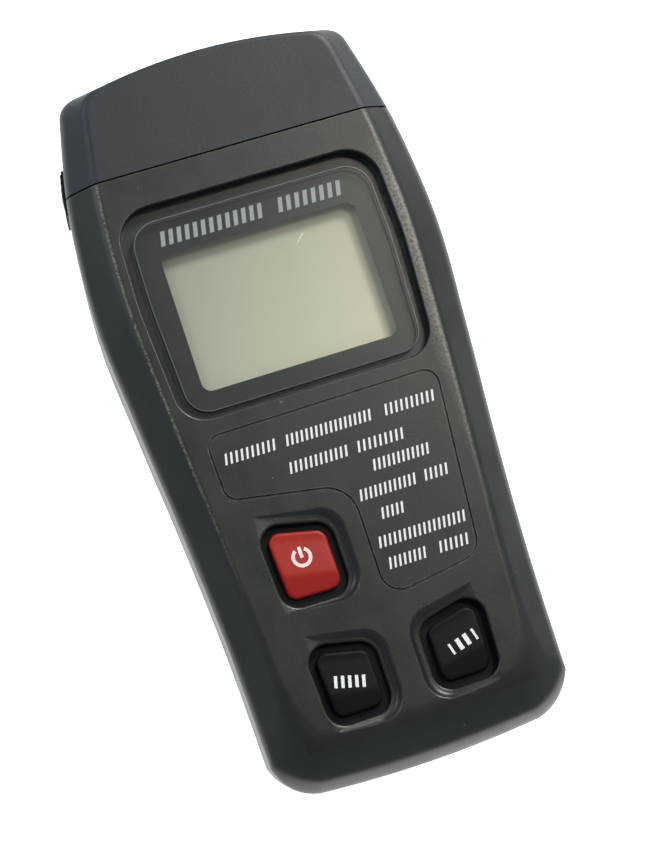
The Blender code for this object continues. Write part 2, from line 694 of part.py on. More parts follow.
def probe_head():
    block = join(box(*BLOCK_FLANGE), box(*BLOCK_NOSE))
    for side in (-1, 1):
        cut(block, turned(((PIN_HOLE, 30.0), (PIN_HOLE, 70.0)), (PIN_X * side, 0, PIN_Z), axis="Y", sides=16))
    finish(block, "pin_block", "block")
    for side, label in ((-1, "left"), (1, "right")):
        at = (PIN_X * side, 0, PIN_Z)
        finish(turned(PIN, at, axis="Y", sides=14), f"electrode_pin_{label}", "steel")
        finish(turned(COLLAR, at, axis="Y", sides=20, hole=PIN_HOLE), f"pin_collar_{label}", "brass")
        finish(turned(NUT, at, axis="Y", sides=6, hole=PIN_HOLE), f"pin_nut_{label}", "brass")
        route = [(x * side, y, z) for x, y, z in PIN_LEAD]
        wire(f"pin_lead_{label}", route, PIN_LEAD_RADIUS, "black_wire")


# ---- Fasteners ----


def slotted_screw(at, profile, slot):
    """A screw standing on its head, whose slot is open downwards; its profile starts from the head's seat."""
    x, y, seat = at
    width, length, depth = slot
    low = seat + profile[0][1]
    screw = turned(profile, at, sides=14)
    return cut(screw, box((x - width / 2, y - length / 2, low - 1.0), (x + width / 2, y + length / 2, low + depth)))


def screws():
    for number, (x, y) in enumerate(CASE_SCREWS, 1):
        screw = slotted_screw((x, y, COUNTERBORE[1] - GAP), CASE_SCREW, CASE_SCREW_SLOT)
        finish(screw, f"case_screw_{number}", "zinc_screw")
    for number, (x, y, _) in enumerate(BOARD_SCREWS, 1):
        screw = slotted_screw((x, y, UNDER_BOARD), BOARD_SCREW, BOARD_SCREW_SLOT)
        finish(screw, f"board_screw_{number}", "zinc_screw")


def main():
    clear_scene()
    case = whole_case()
    front_housing(case)
    rear_housing(case)
    bpy.data.objects.remove(case, do_unlink=True)
    battery_door()
    protective_cap()
    display()
    keys()
    board_and_parts()
    battery()
    probe_head()
    screws()


main()
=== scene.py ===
"""The looks of a pocket moisture meter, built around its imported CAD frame.

Shapes are written in millimetres in the CAD's own frame, and MM turns them into metres. The case, the
cap, the door, the window and the keys are finer versions of their CAD solids, with the same outlines.
"""

import math
from bisect import bisect_right

import bmesh
import bpy
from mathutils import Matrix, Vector


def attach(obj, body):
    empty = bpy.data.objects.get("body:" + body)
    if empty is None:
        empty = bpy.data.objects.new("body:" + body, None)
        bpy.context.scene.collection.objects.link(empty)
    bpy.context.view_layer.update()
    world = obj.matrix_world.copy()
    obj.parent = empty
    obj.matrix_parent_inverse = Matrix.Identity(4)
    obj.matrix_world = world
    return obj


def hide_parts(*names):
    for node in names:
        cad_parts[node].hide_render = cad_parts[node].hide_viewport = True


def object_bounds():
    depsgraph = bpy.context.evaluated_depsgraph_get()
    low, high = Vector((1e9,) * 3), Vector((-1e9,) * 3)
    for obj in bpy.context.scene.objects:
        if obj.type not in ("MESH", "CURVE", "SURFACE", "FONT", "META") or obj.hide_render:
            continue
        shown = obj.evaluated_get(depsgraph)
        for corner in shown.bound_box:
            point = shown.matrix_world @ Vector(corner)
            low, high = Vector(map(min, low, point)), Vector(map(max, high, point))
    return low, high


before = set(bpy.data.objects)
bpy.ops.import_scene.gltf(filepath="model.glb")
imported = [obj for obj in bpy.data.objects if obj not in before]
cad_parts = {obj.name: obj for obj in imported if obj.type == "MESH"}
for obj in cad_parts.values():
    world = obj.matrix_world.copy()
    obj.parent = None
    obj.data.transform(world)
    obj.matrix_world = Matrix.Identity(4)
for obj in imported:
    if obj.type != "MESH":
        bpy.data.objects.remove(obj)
cad_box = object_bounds()

MM = 0.001

# ---- The case's outline, level by level (as in the CAD, with more steps) ----

THICKNESS = 29.0
WALL = 1.9
PARTING_Z = 19.5
PARTING_GAP = 0.3
GIRTH = {
    "sides": (
        (-57, 26.1), (-36, 26.7), (-16, 28.0), (5, 29.8), (23, 31.0), (41, 29.8), (51, 28.0), (61, 25.6),
    ),
    "bottom": -63.8,
    "corner": ((19.5, -62.9), (24.4, -61.8), -56.6),
    "shoulder": ((22.4, 61.75), (25.6, 61.6), 58.6),
    "top": 63.8,
}
PANEL = {
    "sides": (
        (-58, 20.7), (-39, 21.4), (-19, 22.8), (1, 24.3), (24, 25.5), (39, 24.9), (46, 24.1), (58, 22.2),
    ),
    "bottom": -56.9,
    "corner": ((14.5, -56.4), (20.3, -56.0), -49.0),
    "shoulder": ((18.6, 61.2), (21.8, 60.6), 56.8),
    "top": 63.2,
}
BOTTOM_STEPS, CORNER_STEPS, SIDE_STEPS, TOP_STEPS = 6, 9, 30, 7
# Height, how far a surface one millimetre further in moves inwards, and how far it drops.
PARALLEL = ((-1.0, 0.4, -1.0), (0.0, 0.4, -1.0), (0.5, 0.6, -0.8), (1.9, 0.9, -0.4), (4.5, 1.0, -0.1),
            (10.0, 1.0, 0.0), (24.2, 1.0, 0.1), (25.3, 0.95, 0.35), (26.2, 0.8, 0.6), (29.0, 0.35, 1.0),
            (40.0, 0.35, 1.0))

SEAM_Y = 45.2
SEAM_GAP = 0.3
CAP_WALL = 1.8
CAP_CLEARANCE = 0.4
NECK_TOP = 51.0
NECK_WALL_Y = 49.2
CAVITY_TOP = 41.8
NECK_HOLLOW = (21.0, 6.5, 22.5)
PAD_PROUD = 0.45
PAD_SET = 1.2
PAD_Y = (43.0, 50.8)
PAD_Z = (13.5, 23.0)
RIB_Y = (46.6, 47.8, 49.0, 50.2)
RIB_WIDTH = 0.5
RIB_PROUD = 0.25
RIB_SET = 0.3
RIB_END = 0.8
GAP = 0.3

POCKET = ((-22.1, 1.2), (22.1, 1.2), (23.4, 22.0), (22.9, 39.0), (-22.9, 39.0), (-23.4, 22.0))
POCKET_RADII = (5.0, 5.0, 60.0, 6.0, 6.0, 60.0)
LENS = ((-20.6, 2.3), (20.6, 2.3), (21.5, 22.0), (21.2, 36.4), (-21.2, 36.4), (-21.5, 22.0))
LENS_RADII = (4.2, 4.2, 60.0, 4.6, 4.6, 60.0)
LENS_Z = (27.0, 28.4)
PRINT_THICK = 0.06
POCKET_FLOOR = 26.7
SEAT = ((-24.4, -0.5, 25.4), (24.4, 40.5, 27.7))
WINDOW = ((-18.3, 5.0), (18.3, 31.4))
SIGHT = ((-17.35, 5.9), (17.35, 30.45))
LCD_GLASS = ((-19.6, 1.6, 23.5), (19.6, 34.9, 25.1))

POWER_WELL = ((-16.1, -33.1), (-4.3, -33.3), (-4.3, -21.0), (-16.9, -18.1))
MODE_WELL = ((-14.9, -53.7), (-3.8, -53.7), (-3.8, -41.9), (-15.6, -39.2))
POWER_DISH = ((-17.5, -33.3), (-2.1, -34.9), (-2.1, -18.9), (-17.5, -15.9))
MODE_DISH = ((-15.6, -54.8), (-1.8, -55.5), (-1.8, -40.2), (-15.6, -37.3))
WELL_RADIUS = 3.2
WELL_FLOOR = 24.0
DISH_RADII = (0.3, 4.6, 4.4, 0.3)
DISH_DEPTH = 1.15
DISH_START = 0.06
DISH_STEPS = 8
KEY_INSET = 1.35
KEY_TOP = 28.7
FLANGE_LAP = 0.9
FLANGE_Z = (26.1, 26.9)
STEM = 2.2
STEM_BOTTOM = 24.4

LEGEND = ((-19.6, -12.8), (0.65, -16.4), (0.6, -36.2), (17.75, -33.7), (21.0, -1.6), (-19.9, -1.8))
LEGEND_RADII = (2.5, 5.5, 3.6, 3.6, 2.4, 2.4)
GROOVE = 0.35

COMPARTMENT = ((-13.5, -58.8), (13.5, -5.5))
COMPARTMENT_WALL = 1.3
COMPARTMENT_ROOF = (19.3, 20.1)
LEDGE = ((-17.5, -61.0, 1.0), (17.5, -1.0, 3.4))
LEDGE_Z = 1.95
DOOR_HALF = 15.0
DOOR_TOP = -3.5
DOOR_THICK = 1.65
TONGUE = (8.0, 2.1, 1.0)
GRIP_Y = (-11.0, -13.0, -15.0, -17.0, -19.0)
GRIP_Z = -0.15
GRIP_GROOVE = ((0.75, -7.0), (0.75, 7.0))
LEAD_NOTCH = ((-6.0, -6.5, 11.0), (6.0, -3.0, 16.0))
BLOCK_NOSE = ((-18.0, 48.0, 9.0), (18.0, 52.8, 20.0))
CASE_SCREWS = ((-21.5, 41.0), (21.5, 41.0), (-18.9, -55.0), (18.9, -55.0))
COUNTERBORE = (2.7, 8.0)
SCREW_BOSS = 3.6
SCREW_HOLE = 1.5


# ---- Meshes and Booleans ----


def add_object(name, bm):
    """An object from a bmesh in millimetres, with its faces turned outwards."""
    bmesh.ops.recalc_face_normals(bm, faces=bm.faces)
    bmesh.ops.scale(bm, vec=Vector((MM, MM, MM)), verts=bm.verts)
    mesh = bpy.data.meshes.new(name)
    bm.to_mesh(mesh)
    bm.free()
    obj = bpy.data.objects.new(name, mesh)
    bpy.context.scene.collection.objects.link(obj)
    return obj


def boolean(obj, other, operation):
    """Applies a Boolean with the other object, and removes that object."""
    modifier = obj.modifiers.new(operation, "BOOLEAN")
    modifier.operation = operation
    modifier.object = other
    modifier.solver = "EXACT"
    graph = bpy.context.evaluated_depsgraph_get()
    result = bpy.data.meshes.new_from_object(obj.evaluated_get(graph))
    obj.modifiers.clear()
    obj.data = result
    bpy.data.objects.remove(other, do_unlink=True)
    return obj


def cut(obj, other):
    return boolean(obj, other, "DIFFERENCE")


def join(obj, other):
    return boolean(obj, other, "UNION")


def keep(obj, other):
    return boolean(obj, other, "INTERSECT")


def loft(rings, round_a_hole=False):
    """A solid through rings of (x, y, z) points, each with the same number of points.

    It has a face on its first and its last ring, unless the last one is joined back to the first.
    """
    bm = bmesh.new()
    loops = [[bm.verts.new(point) for point in ring] for ring in rings]
    if round_a_hole:
        loops.append(loops[0])
    count = len(loops[0])
    for lower, upper in zip(loops, loops[1:]):
        for i in range(count):
            j = (i + 1) % count
            bm.faces.new((lower[i], lower[j], upper[j], upper[i]))
    if not round_a_hole:
        bm.faces.new(loops[0])
        bm.faces.new(loops[-1])
    return add_object("loft", bm)


def prism(outline, low, high):
    """An upright solid on an outline of (x, y) points."""
    return loft([[(x, y, z) for x, y in outline] for z in (low, high)])


def box(low, high):
    (x0, y0, z0), (x1, y1, z1) = low, high
    return prism(((x0, y0), (x1, y0), (x1, y1), (x0, y1)), z0, z1)


def turned(profile, at, axis="Z", sides=40):
    """A round solid from (radius, height) points, about an axis through a point."""
    rings = []
    for radius, height in profile:
        ring = []
        for i in range(sides):
            turn = 2 * math.pi * i / sides
            across, over = radius * math.cos(turn), radius * math.sin(turn)
            offset = (across, over, height) if axis == "Z" else (across, height, over)
            ring.append(tuple(Vector(at) + Vector(offset)))
        rings.append(ring)
    return loft(rings)


def rounded(corners, radii, steps=9):
    """An outline whose corners are arcs; a very large radius is limited to half of its shorter side."""
    outline = []
    count = len(corners)
    for i, radius in enumerate(radii):
        before, corner, after = (Vector(corners[(i + k) % count]) for k in (-1, 0, 1))
        back, ahead = before - corner, after - corner
        half = back.angle(ahead) / 2
        reach = min(radius / math.tan(half), 0.45 * min(back.length, ahead.length))
        start = corner + back.normalized() * reach
        end = corner + ahead.normalized() * reach
        centre = corner + (back.normalized() + ahead.normalized()).normalized() * reach / math.cos(half)
        sweep = (start - centre).angle_signed(end - centre)
        for step in range(steps + 1):
            turn = -sweep * step / steps
            arm = start - centre
            cos, sin = math.cos(turn), math.sin(turn)
            outline.append((centre.x + arm.x * cos - arm.y * sin, centre.y + arm.x * sin + arm.y * cos))
    return outline


def inset(outline, distance):
    """The outline moved inwards by a distance, or by one for each point; a negative one moves it outwards."""
    moved = []
    count = len(outline)
    distances = distance if isinstance(distance, list) else [distance] * count
    for i in range(count):
        before, here, after = (Vector(outline[(i + k) % count]) for k in (-1, 0, 1))
        first = (here - before).normalized()
        second = (after - here).normalized()
        inward = Vector((-first.y - second.y, first.x + second.x)).normalized()
        lean = max(inward.dot(Vector((-first.y, first.x))), 0.5)
        place = here + inward * distances[i] / lean
        moved.append((place.x, place.y))
    return moved


def resampled(outline, count):
    """The outline as a number of points at equal distances along it."""
    points = [Vector(point) for point in outline] + [Vector(outline[0])]
    lengths = [0.0]
    for a, b in zip(points, points[1:]):
        lengths.append(lengths[-1] + (b - a).length)
    even = []
    for k in range(count):
        along = lengths[-1] * k / count
        i = min(bisect_right(lengths, along) - 1, len(points) - 2)
        t = (along - lengths[i]) / (lengths[i + 1] - lengths[i])
        place = points[i].lerp(points[i + 1], t)
        even.append((place.x, place.y))
    return even


def mirrored(outline):
    """The outline on the other side of the centre line, still anticlockwise."""
    return [(-x, y) for x, y in reversed(outline)]


def smooth(stations, place):
    """The value at a place on a smooth curve through (place, value) stations."""
    places = [station[0] for station in stations]
    last = len(stations) - 1
    i = min(max(bisect_right(places, place) - 1, 0), last - 1)

    def slope(k):
        low, high = max(k - 1, 0), min(k + 1, last)
        return (stations[high][1] - stations[low][1]) / (stations[high][0] - stations[low][0])

    (y0, v0), (y1, v1) = stations[i], stations[i + 1]
    span = y1 - y0
    t = (place - y0) / span
    return (
        v0 * (1 + 2 * t) * (1 - t) ** 2
        + v1 * t * t * (3 - 2 * t)
        + span * slope(i) * t * (1 - t) ** 2
        - span * slope(i + 1) * t * t * (1 - t)
    )


def bend(start, turn, end, steps):
    """A round corner from start to end, without its end point."""
    points = []
    for step in range(steps):
        t = step / steps
        point = [(1 - t) ** 2 * a + 2 * t * (1 - t) * b + t * t * c for a, b, c in zip(start, turn, end)]
        points.append(tuple(point))
    return points


# ---- The case's surface ----


def case_outline(shape):
    """The anticlockwise outline of one level of the case, from the middle of its bottom edge."""
    corner_end, corner_turn, side_start = shape["corner"]
    shoulder_end, shoulder_turn, side_end = shape["shoulder"]
    half = []
    for step in range(BOTTOM_STEPS):
        t = step / BOTTOM_STEPS
        half.append((corner_end[0] * t, shape["bottom"] + (corner_end[1] - shape["bottom"]) * t * t))
    side_foot = (smooth(shape["sides"], side_start), side_start)
    half += bend(corner_end, corner_turn, side_foot, CORNER_STEPS)
    for step in range(SIDE_STEPS):
        y = side_start + (side_end - side_start) * step / SIDE_STEPS
        half.append((smooth(shape["sides"], y), y))
    side_head = (smooth(shape["sides"], side_end), side_end)
    half += bend(side_head, shoulder_turn, shoulder_end, CORNER_STEPS)
    for step in range(TOP_STEPS + 1):
        t = 1 - step / TOP_STEPS
        half.append((shoulder_end[0] * t, shape["top"] - (shape["top"] - shoulder_end[1]) * t * t))
    return half + [(-x, y) for x, y in reversed(half[1:-1])]


CREASE_INSET = 0.9
CREASE_SHARE = 0.16
BEVEL_FALL = 3.46
SOFT_FROM_Y = -42.0
SOFT_OVER = 12.0
SOFTEST = 3.2
CREASE_STEPS = 6
# The shoulder, as round corners through (height, share of the way to the girth, inset): a tight one along the
# sides, and a wide one in two parts that it turns into at the bottom end.
CRISP = ((26.4, 0.75, 0.0), (25.54, 1.0, 0.0), (24.4, 1.0, 0.0))
DULL_ABOVE = ((26.9, 0.60, 0.0), (26.5, 0.72, 0.0), (25.6, 0.79, 0.0))
DULL_BELOW = ((25.6, 0.79, 0.0), (23.6, 0.965, 0.0), (21.8, 1.0, 0.0))
DULL_FROM_Y = -49.0
DULL_OVER = 6.5
FLANKS = ((20.5, 1.0, 0.15), (15.0, 1.0, 0.45))
FOOT = ((9.0, 1.0, 0.75), (0.2, 1.0, 1.1), (0.0, 1.0, 4.4))


def softness(y):
    """How much wider than elsewhere the round of the panel's edge is: it widens towards the bottom."""
    t = min(max((SOFT_FROM_Y - y) / SOFT_OVER, 0.0), 1.0)
    return 1.0 + (SOFTEST - 1.0) * t * t * (3 - 2 * t)


def case_levels(panel):
    """The case's profile at each point: height, share of the way from panel to girth, and an extra inset."""
    levels = []
    for step in range(CREASE_STEPS + 1):
        t = step / CREASE_STEPS
        level = []
        for _, y in panel:
            k = softness(y)
            share = CREASE_SHARE * k * t * t
            level.append((THICKNESS - BEVEL_FALL * share, share, CREASE_INSET * k * (1 - t) ** 2))
        levels.append(level)
    crisp, dull = bend(*CRISP, 10), bend(*DULL_ABOVE, 4) + bend(*DULL_BELOW, 6)
    for sharp_level, dull_level in zip(crisp, dull):
        level = []
        for _, y in panel:
            k = min(max((DULL_FROM_Y - y) / DULL_OVER, 0.0), 1.0)
            level.append(tuple(a + (b - a) * k for a, b in zip(sharp_level, dull_level)))
        levels.append(level)
    for level in [*FLANKS, *bend(*FOOT, 8), FOOT[-1]]:
        levels.append([level] * len(panel))
    return levels


def parallel(height):
    """How far a surface one millimetre further in moves inwards and drops, at a height."""
    for (low, *under), (high, *over) in zip(PARALLEL, PARALLEL[1:]):
        if height <= high:
            t = (height - low) / (high - low)
            return [a + (b - a) * t for a, b in zip(under, over)]
    return PARALLEL[-1][1:]


def case_solid(depth=0.0, low_y=-80.0, high_y=80.0):
    """The solid inside a surface a depth below the case's outside, between two places along Y."""
    panel, girth = case_outline(PANEL), case_outline(GIRTH)
    rings = []
    for level in case_levels(panel):
        outline = []
        for (ax, ay), (bx, by), (_, share, _) in zip(panel, girth, level):
            outline.append((ax + (bx - ax) * share, ay + (by - ay) * share))
        moves = [parallel(height) for height, _, _ in level]
        outline = inset(outline, [q[2] + depth * move[0] for q, move in zip(level, moves)])
        rings.append([(x, y, q[0] - depth * move[1]) for (x, y), q, move in zip(outline, level, moves)])
    solid = loft(rings)
    if low_y > -70 or high_y < 70:
        keep(solid, box((-50, low_y, -20), (50, high_y, 50)))
    return solid


def side_box(side, low_z, high_z):
    """A box that holds one side of the cap between two heights."""
    near, far = sorted((20.0 * side, 40.0 * side))
    return box((near, 30.0, low_z), (far, 60.0, high_z))


def cap_pad(side, room, high_y):
    """The grip pad on one side of the cap, or with room around it the notch that its lower end fits."""
    pad = case_solid(-PAD_PROUD - 2 * room, PAD_Y[0] - room, high_y)
    cut(pad, case_solid(PAD_SET + room))
    return keep(pad, side_box(side, PAD_Z[0] - room, PAD_Z[1] + room))


# How far a cutter goes past the face that it opens.
PAST_FACE = 0.004


def flared(outline, low, edge, radius, steps=4):
    """A cutter whose walls open out in a round edge just below a height, so that the hole's rim is round."""
    rings = [[(x, y, low) for x, y in outline]]
    for step in range(steps + 1):
        turn = math.radians(90.0 * step / steps)
        spread = radius * (1 - math.cos(turn))
        height = edge - radius + radius * math.sin(turn)
        lift = PAST_FACE if step == steps else 0.0
        rings.append([(x, y, height + lift) for x, y in inset(outline, -spread)])
    rings.append([(x, y, edge + 3.0) for x, y in inset(outline, -radius - 0.02)])
    return loft(rings)


def finish(obj, name, made_of, body, nodes=(), sharp_degrees=32.0):
    """Names a piece, gives it its material and body, and shades it smooth between sharp edges."""
    obj.name = name
    obj.data.name = name
    obj.data.materials.clear()
    obj.data.materials.append(made_of)
    obj.data.shade_smooth()
    obj.data.set_sharp_from_angle(angle=math.radians(sharp_degrees))
    weighted = obj.modifiers.new("weighted", "WEIGHTED_NORMAL")
    weighted.keep_sharp = True
    weighted.weight = 80
    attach(obj, body)
    if nodes:
        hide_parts(*nodes)


# ---- Materials ----


class Paint:
    """A node material around one Principled shader."""

    def __init__(self, name, colour, roughness, metallic=0.0, **sockets):
        self.material = bpy.data.materials.new(name)
        self.material.use_nodes = True
        self.tree = self.material.node_tree
        self.shader = self.tree.nodes["Principled BSDF"]
        self.shader.inputs["Base Color"].default_value = (*colour, 1.0)
        self.shader.inputs["Roughness"].default_value = roughness
        self.shader.inputs["Metallic"].default_value = metallic
        for socket, value in sockets.items():
            self.shader.inputs[socket.replace("_", " ")].default_value = value
        self.place = self.node("ShaderNodeTexCoord").outputs["Object"]
        self.last_normal = None

    def node(self, kind, **values):
        made = self.tree.nodes.new(kind)
        for name, value in values.items():
            setattr(made, name, value)
        return made

    def link(self, start, end):
        self.tree.links.new(start, end)

    def noise(self, size, detail=3.0, stretch=(1.0, 1.0, 1.0)):
        """Noise whose features are about a size in millimetres; a stretch makes them longer along an axis."""
        texture = self.node("ShaderNodeTexNoise")
        texture.inputs["Scale"].default_value = 1.0 / (size * MM)
        texture.inputs["Detail"].default_value = detail
        mapping = self.node("ShaderNodeMapping")
        mapping.inputs["Scale"].default_value = [1.0 / s for s in stretch]
        self.link(self.place, mapping.inputs["Vector"])
        self.link(mapping.outputs["Vector"], texture.inputs["Vector"])
        return texture.outputs["Fac"]

    def between(self, value, low, high, to_low, to_high):
        """A value mapped from one range to another, and kept inside it."""
        ranged = self.node("ShaderNodeMapRange")
        for socket, number in zip(("From Min", "From Max", "To Min", "To Max"), (low, high, to_low, to_high)):
            ranged.inputs[socket].default_value = number
        self.link(value, ranged.inputs["Value"])
        return ranged.outputs["Result"]

    def times(self, a, b):
        product = self.node("ShaderNodeMath", operation="MULTIPLY")
        self.link(a, product.inputs[0])
        self.link(b, product.inputs[1])
        return product.outputs[0]

    def tint(self, mask, colour):
        """Lays a colour over what the shader has so far, where the mask says."""
        mix = self.node("ShaderNodeMix", data_type="RGBA")
        socket = self.shader.inputs["Base Color"]
        if socket.is_linked:
            self.link(socket.links[0].from_socket, mix.inputs["A"])
        else:
            mix.inputs["A"].default_value = tuple(socket.default_value)
        mix.inputs["B"].default_value = (*colour, 1.0)
        self.link(mask, mix.inputs["Factor"])
        self.link(mix.outputs["Result"], socket)

    def shade(self, mask, low, high):
        """Darkens or lightens the colour so far by a factor that runs from low to high with the mask."""
        grey = self.between(mask, 0.0, 1.0, low, high)
        scale = self.node("ShaderNodeVectorMath", operation="SCALE")
        socket = self.shader.inputs["Base Color"]
        if socket.is_linked:
            self.link(socket.links[0].from_socket, scale.inputs[0])
        else:
            scale.inputs[0].default_value = tuple(socket.default_value)[:3]
        self.link(grey, scale.inputs["Scale"])
        self.link(scale.outputs["Vector"], socket)

    def rough(self, mask, low, high):
        """Varies the roughness with a noise, whose middle range is spread from low to high."""
        self.link(self.between(mask, 0.3, 0.7, low, high), self.shader.inputs["Roughness"])

    def bump(self, height, depth, strength=1.0):
        """Bump from a height map, of a depth in millimetres."""
        bump = self.node("ShaderNodeBump")
        bump.inputs["Strength"].default_value = strength
        bump.inputs["Distance"].default_value = depth * MM
        self.link(height, bump.inputs["Height"])
        if self.last_normal:
            self.link(self.last_normal, bump.inputs["Normal"])
        self.last_normal = bump.outputs["Normal"]
        self.link(self.last_normal, self.shader.inputs["Normal"])

    def place_parts(self):
        parts = self.node("ShaderNodeSeparateXYZ")
        self.link(self.place, parts.inputs[0])
        return parts

    def along(self, axis, low, high, to_low=0.0, to_high=1.0):
        """A mask that grows along an axis between two places in metres."""
        return self.between(self.place_parts().outputs[axis], low, high, to_low, to_high)

    def facing_up(self, low, high):
        """A mask that grows as the surface turns to face upwards, between two heights of its normal."""
        parts = self.node("ShaderNodeSeparateXYZ")
        self.link(self.node("ShaderNodeTexCoord").outputs["Normal"], parts.inputs[0])
        return self.between(parts.outputs["Z"], low, high, 0.0, 1.0)

    def creases(self):
        """Where a surface turns from lying flat to leaning: the round between the panel and its bevel."""
        return self.times(self.facing_up(0.998, 0.988), self.facing_up(0.955, 0.972))

    def edges(self, radius):
        """How close a point is to an edge: 0 on a flat face, towards 1 on an edge rounder than the radius."""
        bevel = self.node("ShaderNodeBevel", samples=4)
        bevel.inputs["Radius"].default_value = radius * MM
        geometry = self.node("ShaderNodeNewGeometry")
        dot = self.node("ShaderNodeVectorMath", operation="DOT_PRODUCT")
        self.link(bevel.outputs["Normal"], dot.inputs[0])
        self.link(geometry.outputs["Normal"], dot.inputs[1])
        return self.between(dot.outputs["Value"], 0.99, 0.86, 0.0, 1.0)


# Where painted glints, a painted highlight strip and painted shade in the thumb dishes go on the case, in
# metres: from where to where each mask grows.
GLINT_ZONE_Y = (-0.03, 0.0)
BELOW_CAP_Y = (0.042, 0.030)
SHEEN_STRIP_X = (0.0215, 0.0245)
KEYPAD_X_SQUARED = (0.00042, 0.00038)
KEYPAD_BOTTOM_Y = (-0.0565, -0.0560)
KEYPAD_TOP_Y = (-0.0145, -0.0150)
BELOW_PANEL_Z = (0.0289, 0.0284)
FLECK = (0.22, 0.22, 0.215)


def wear_and_glints(paint, worn):
    """Rubbed edges from wear, a painted glint speckled along the panel's crease, a ragged painted highlight
    down the right side, and a few pale flecks.
    """
    rub = paint.times(paint.edges(0.35), paint.between(paint.noise(1.6, 4.0), 0.4, 0.7, 0.1, 0.75))
    paint.tint(rub, worn)
    speckle = paint.between(paint.noise(0.35, 3.0), 0.40, 0.62, 0.1, 0.9)
    glint_zone = paint.along("Y", *GLINT_ZONE_Y)
    # Painted glint: the crease is lightened, in speckles, where it catches the light.
    paint.tint(paint.times(paint.times(paint.creases(), speckle), glint_zone), worn)
    sheen_strip = paint.times(paint.along("X", *SHEEN_STRIP_X), glint_zone)
    ragged = paint.between(paint.noise(0.5, 4.0), 0.38, 0.62, 0.15, 0.85)
    on_panel = paint.times(paint.along("Y", *BELOW_CAP_Y), paint.facing_up(0.94, 0.985))
    # Painted highlight: a ragged light strip down the right side of the panel, where the gloss of a light
    # falls.
    paint.tint(paint.times(paint.times(sheen_strip, ragged), on_panel), worn)
    paint.tint(paint.between(paint.noise(1.1, 1.0), 0.81, 0.825, 0.0, 0.45), FLECK)


def paint_dish_shade(paint, sunk):
    """Painted shade: a darker colour deep in the thumb dishes, where they lie in shade."""
    x = paint.place_parts().outputs["X"]
    near_middle = paint.between(paint.times(x, x), *KEYPAD_X_SQUARED, 0.0, 1.0)
    keypad = paint.times(paint.along("Y", *KEYPAD_BOTTOM_Y), paint.along("Y", *KEYPAD_TOP_Y))
    deep = paint.along("Z", *BELOW_PANEL_Z, 0.0, 0.6)
    paint.tint(paint.times(paint.times(near_middle, deep), keypad), sunk)


def moulded(
    name, colour, roughness, grain=0.32, depth=0.012, worn=None, patchy=0.12, sunk=None, **sockets
):
    """Moulded plastic: a fine spark-eroded grain, slight unevenness, wear with painted glints, and painted
    shade in the thumb dishes.
    """
    paint = Paint(name, colour, roughness, **sockets)
    broad = paint.noise(14.0, 2.0)
    fine = paint.noise(grain, 2.0)
    smudge = paint.noise(5.0, 4.0, (1.0, 1.6, 1.0))
    paint.shade(paint.between(broad, 0.3, 0.7, 0.0, 1.0), 1 - patchy / 2, 1 + patchy / 2)
    paint.shade(paint.between(fine, 0.25, 0.75, 0.0, 1.0), 0.86, 1.14)
    # Rubbed edges, with painted glints and a painted highlight strip.
    if worn:
        wear_and_glints(paint, worn)
    # Painted shade in the thumb dishes.
    if sunk:
        paint_dish_shade(paint, sunk)
    paint.rough(smudge, roughness - 0.05, roughness + 0.06)
    paint.bump(fine, depth)
    paint.bump(broad, 0.05, 0.35)
    return paint.material


def brushed(name, colour, roughness, stretch=(1.0, 30.0, 1.0)):
    """Metal with fine drawing marks along an axis, and a little dulling."""
    paint = Paint(name, colour, roughness, metallic=1.0)
    streaks = paint.noise(0.08, 2.0, stretch)
    dull = paint.noise(2.2, 3.0)
    paint.shade(paint.between(dull, 0.35, 0.7, 0.0, 1.0), 1.0, 0.8)
    paint.rough(streaks, roughness - 0.06, roughness + 0.12)
    paint.bump(streaks, 0.004)
    return paint.material


def display_film():
    """The reflective cell: a greenish grey polariser with a faint fibre-like sparkle, a faint painted glow,
    and painted light that makes it warmer to the right and lighter towards the bottom.
    """
    # A faint emission of its own colour: a painted glow, though the cell gives no light.
    paint = Paint(
        "display_film", (0.43, 0.46, 0.36), 0.4,
        Specular_IOR_Level=0.35, Emission_Color=(0.5, 0.52, 0.42, 1.0), Emission_Strength=0.06,
    )
    paint.shade(paint.between(paint.noise(0.16, 2.0, (1.0, 2.5, 1.0)), 0.3, 0.7, 0.0, 1.0), 0.965, 1.03)
    # Painted light: warmer to the right and lighter towards the bottom, where the lights' reflection falls.
    paint.tint(paint.along("X", -0.018, 0.018), (0.70, 0.66, 0.50))
    paint.shade(paint.along("Y", 0.006, 0.031), 1.1, 0.86)
    paint.rough(paint.noise(3.0), 0.34, 0.44)
    paint.bump(paint.noise(0.2), 0.003)
    return paint.material


def window_plastic():
    """The clear plate, almost nothing but gloss, with hairline scuffs that catch the light."""
    paint = Paint("window_plastic", (0.06, 0.07, 0.07), 0.08, Alpha=0.10)
    scuffs = paint.noise(0.25, 2.0, (1.0, 14.0, 1.0))
    paint.rough(scuffs, 0.10, 0.18)
    paint.shade(paint.between(scuffs, 0.3, 0.7, 0.0, 1.0), 0.92, 1.0)
    return paint.material


def printed(name, colour):
    """Screen-printed ink, slightly thin and uneven at the small scale."""
    paint = Paint(name, colour, 0.4)
    paint.shade(paint.between(paint.noise(0.22, 3.0), 0.32, 0.66, 0.0, 1.0), 0.78, 1.06)
    paint.rough(paint.noise(0.5), 0.35, 0.5)
    paint.bump(paint.noise(0.15), 0.006)
    return paint.material


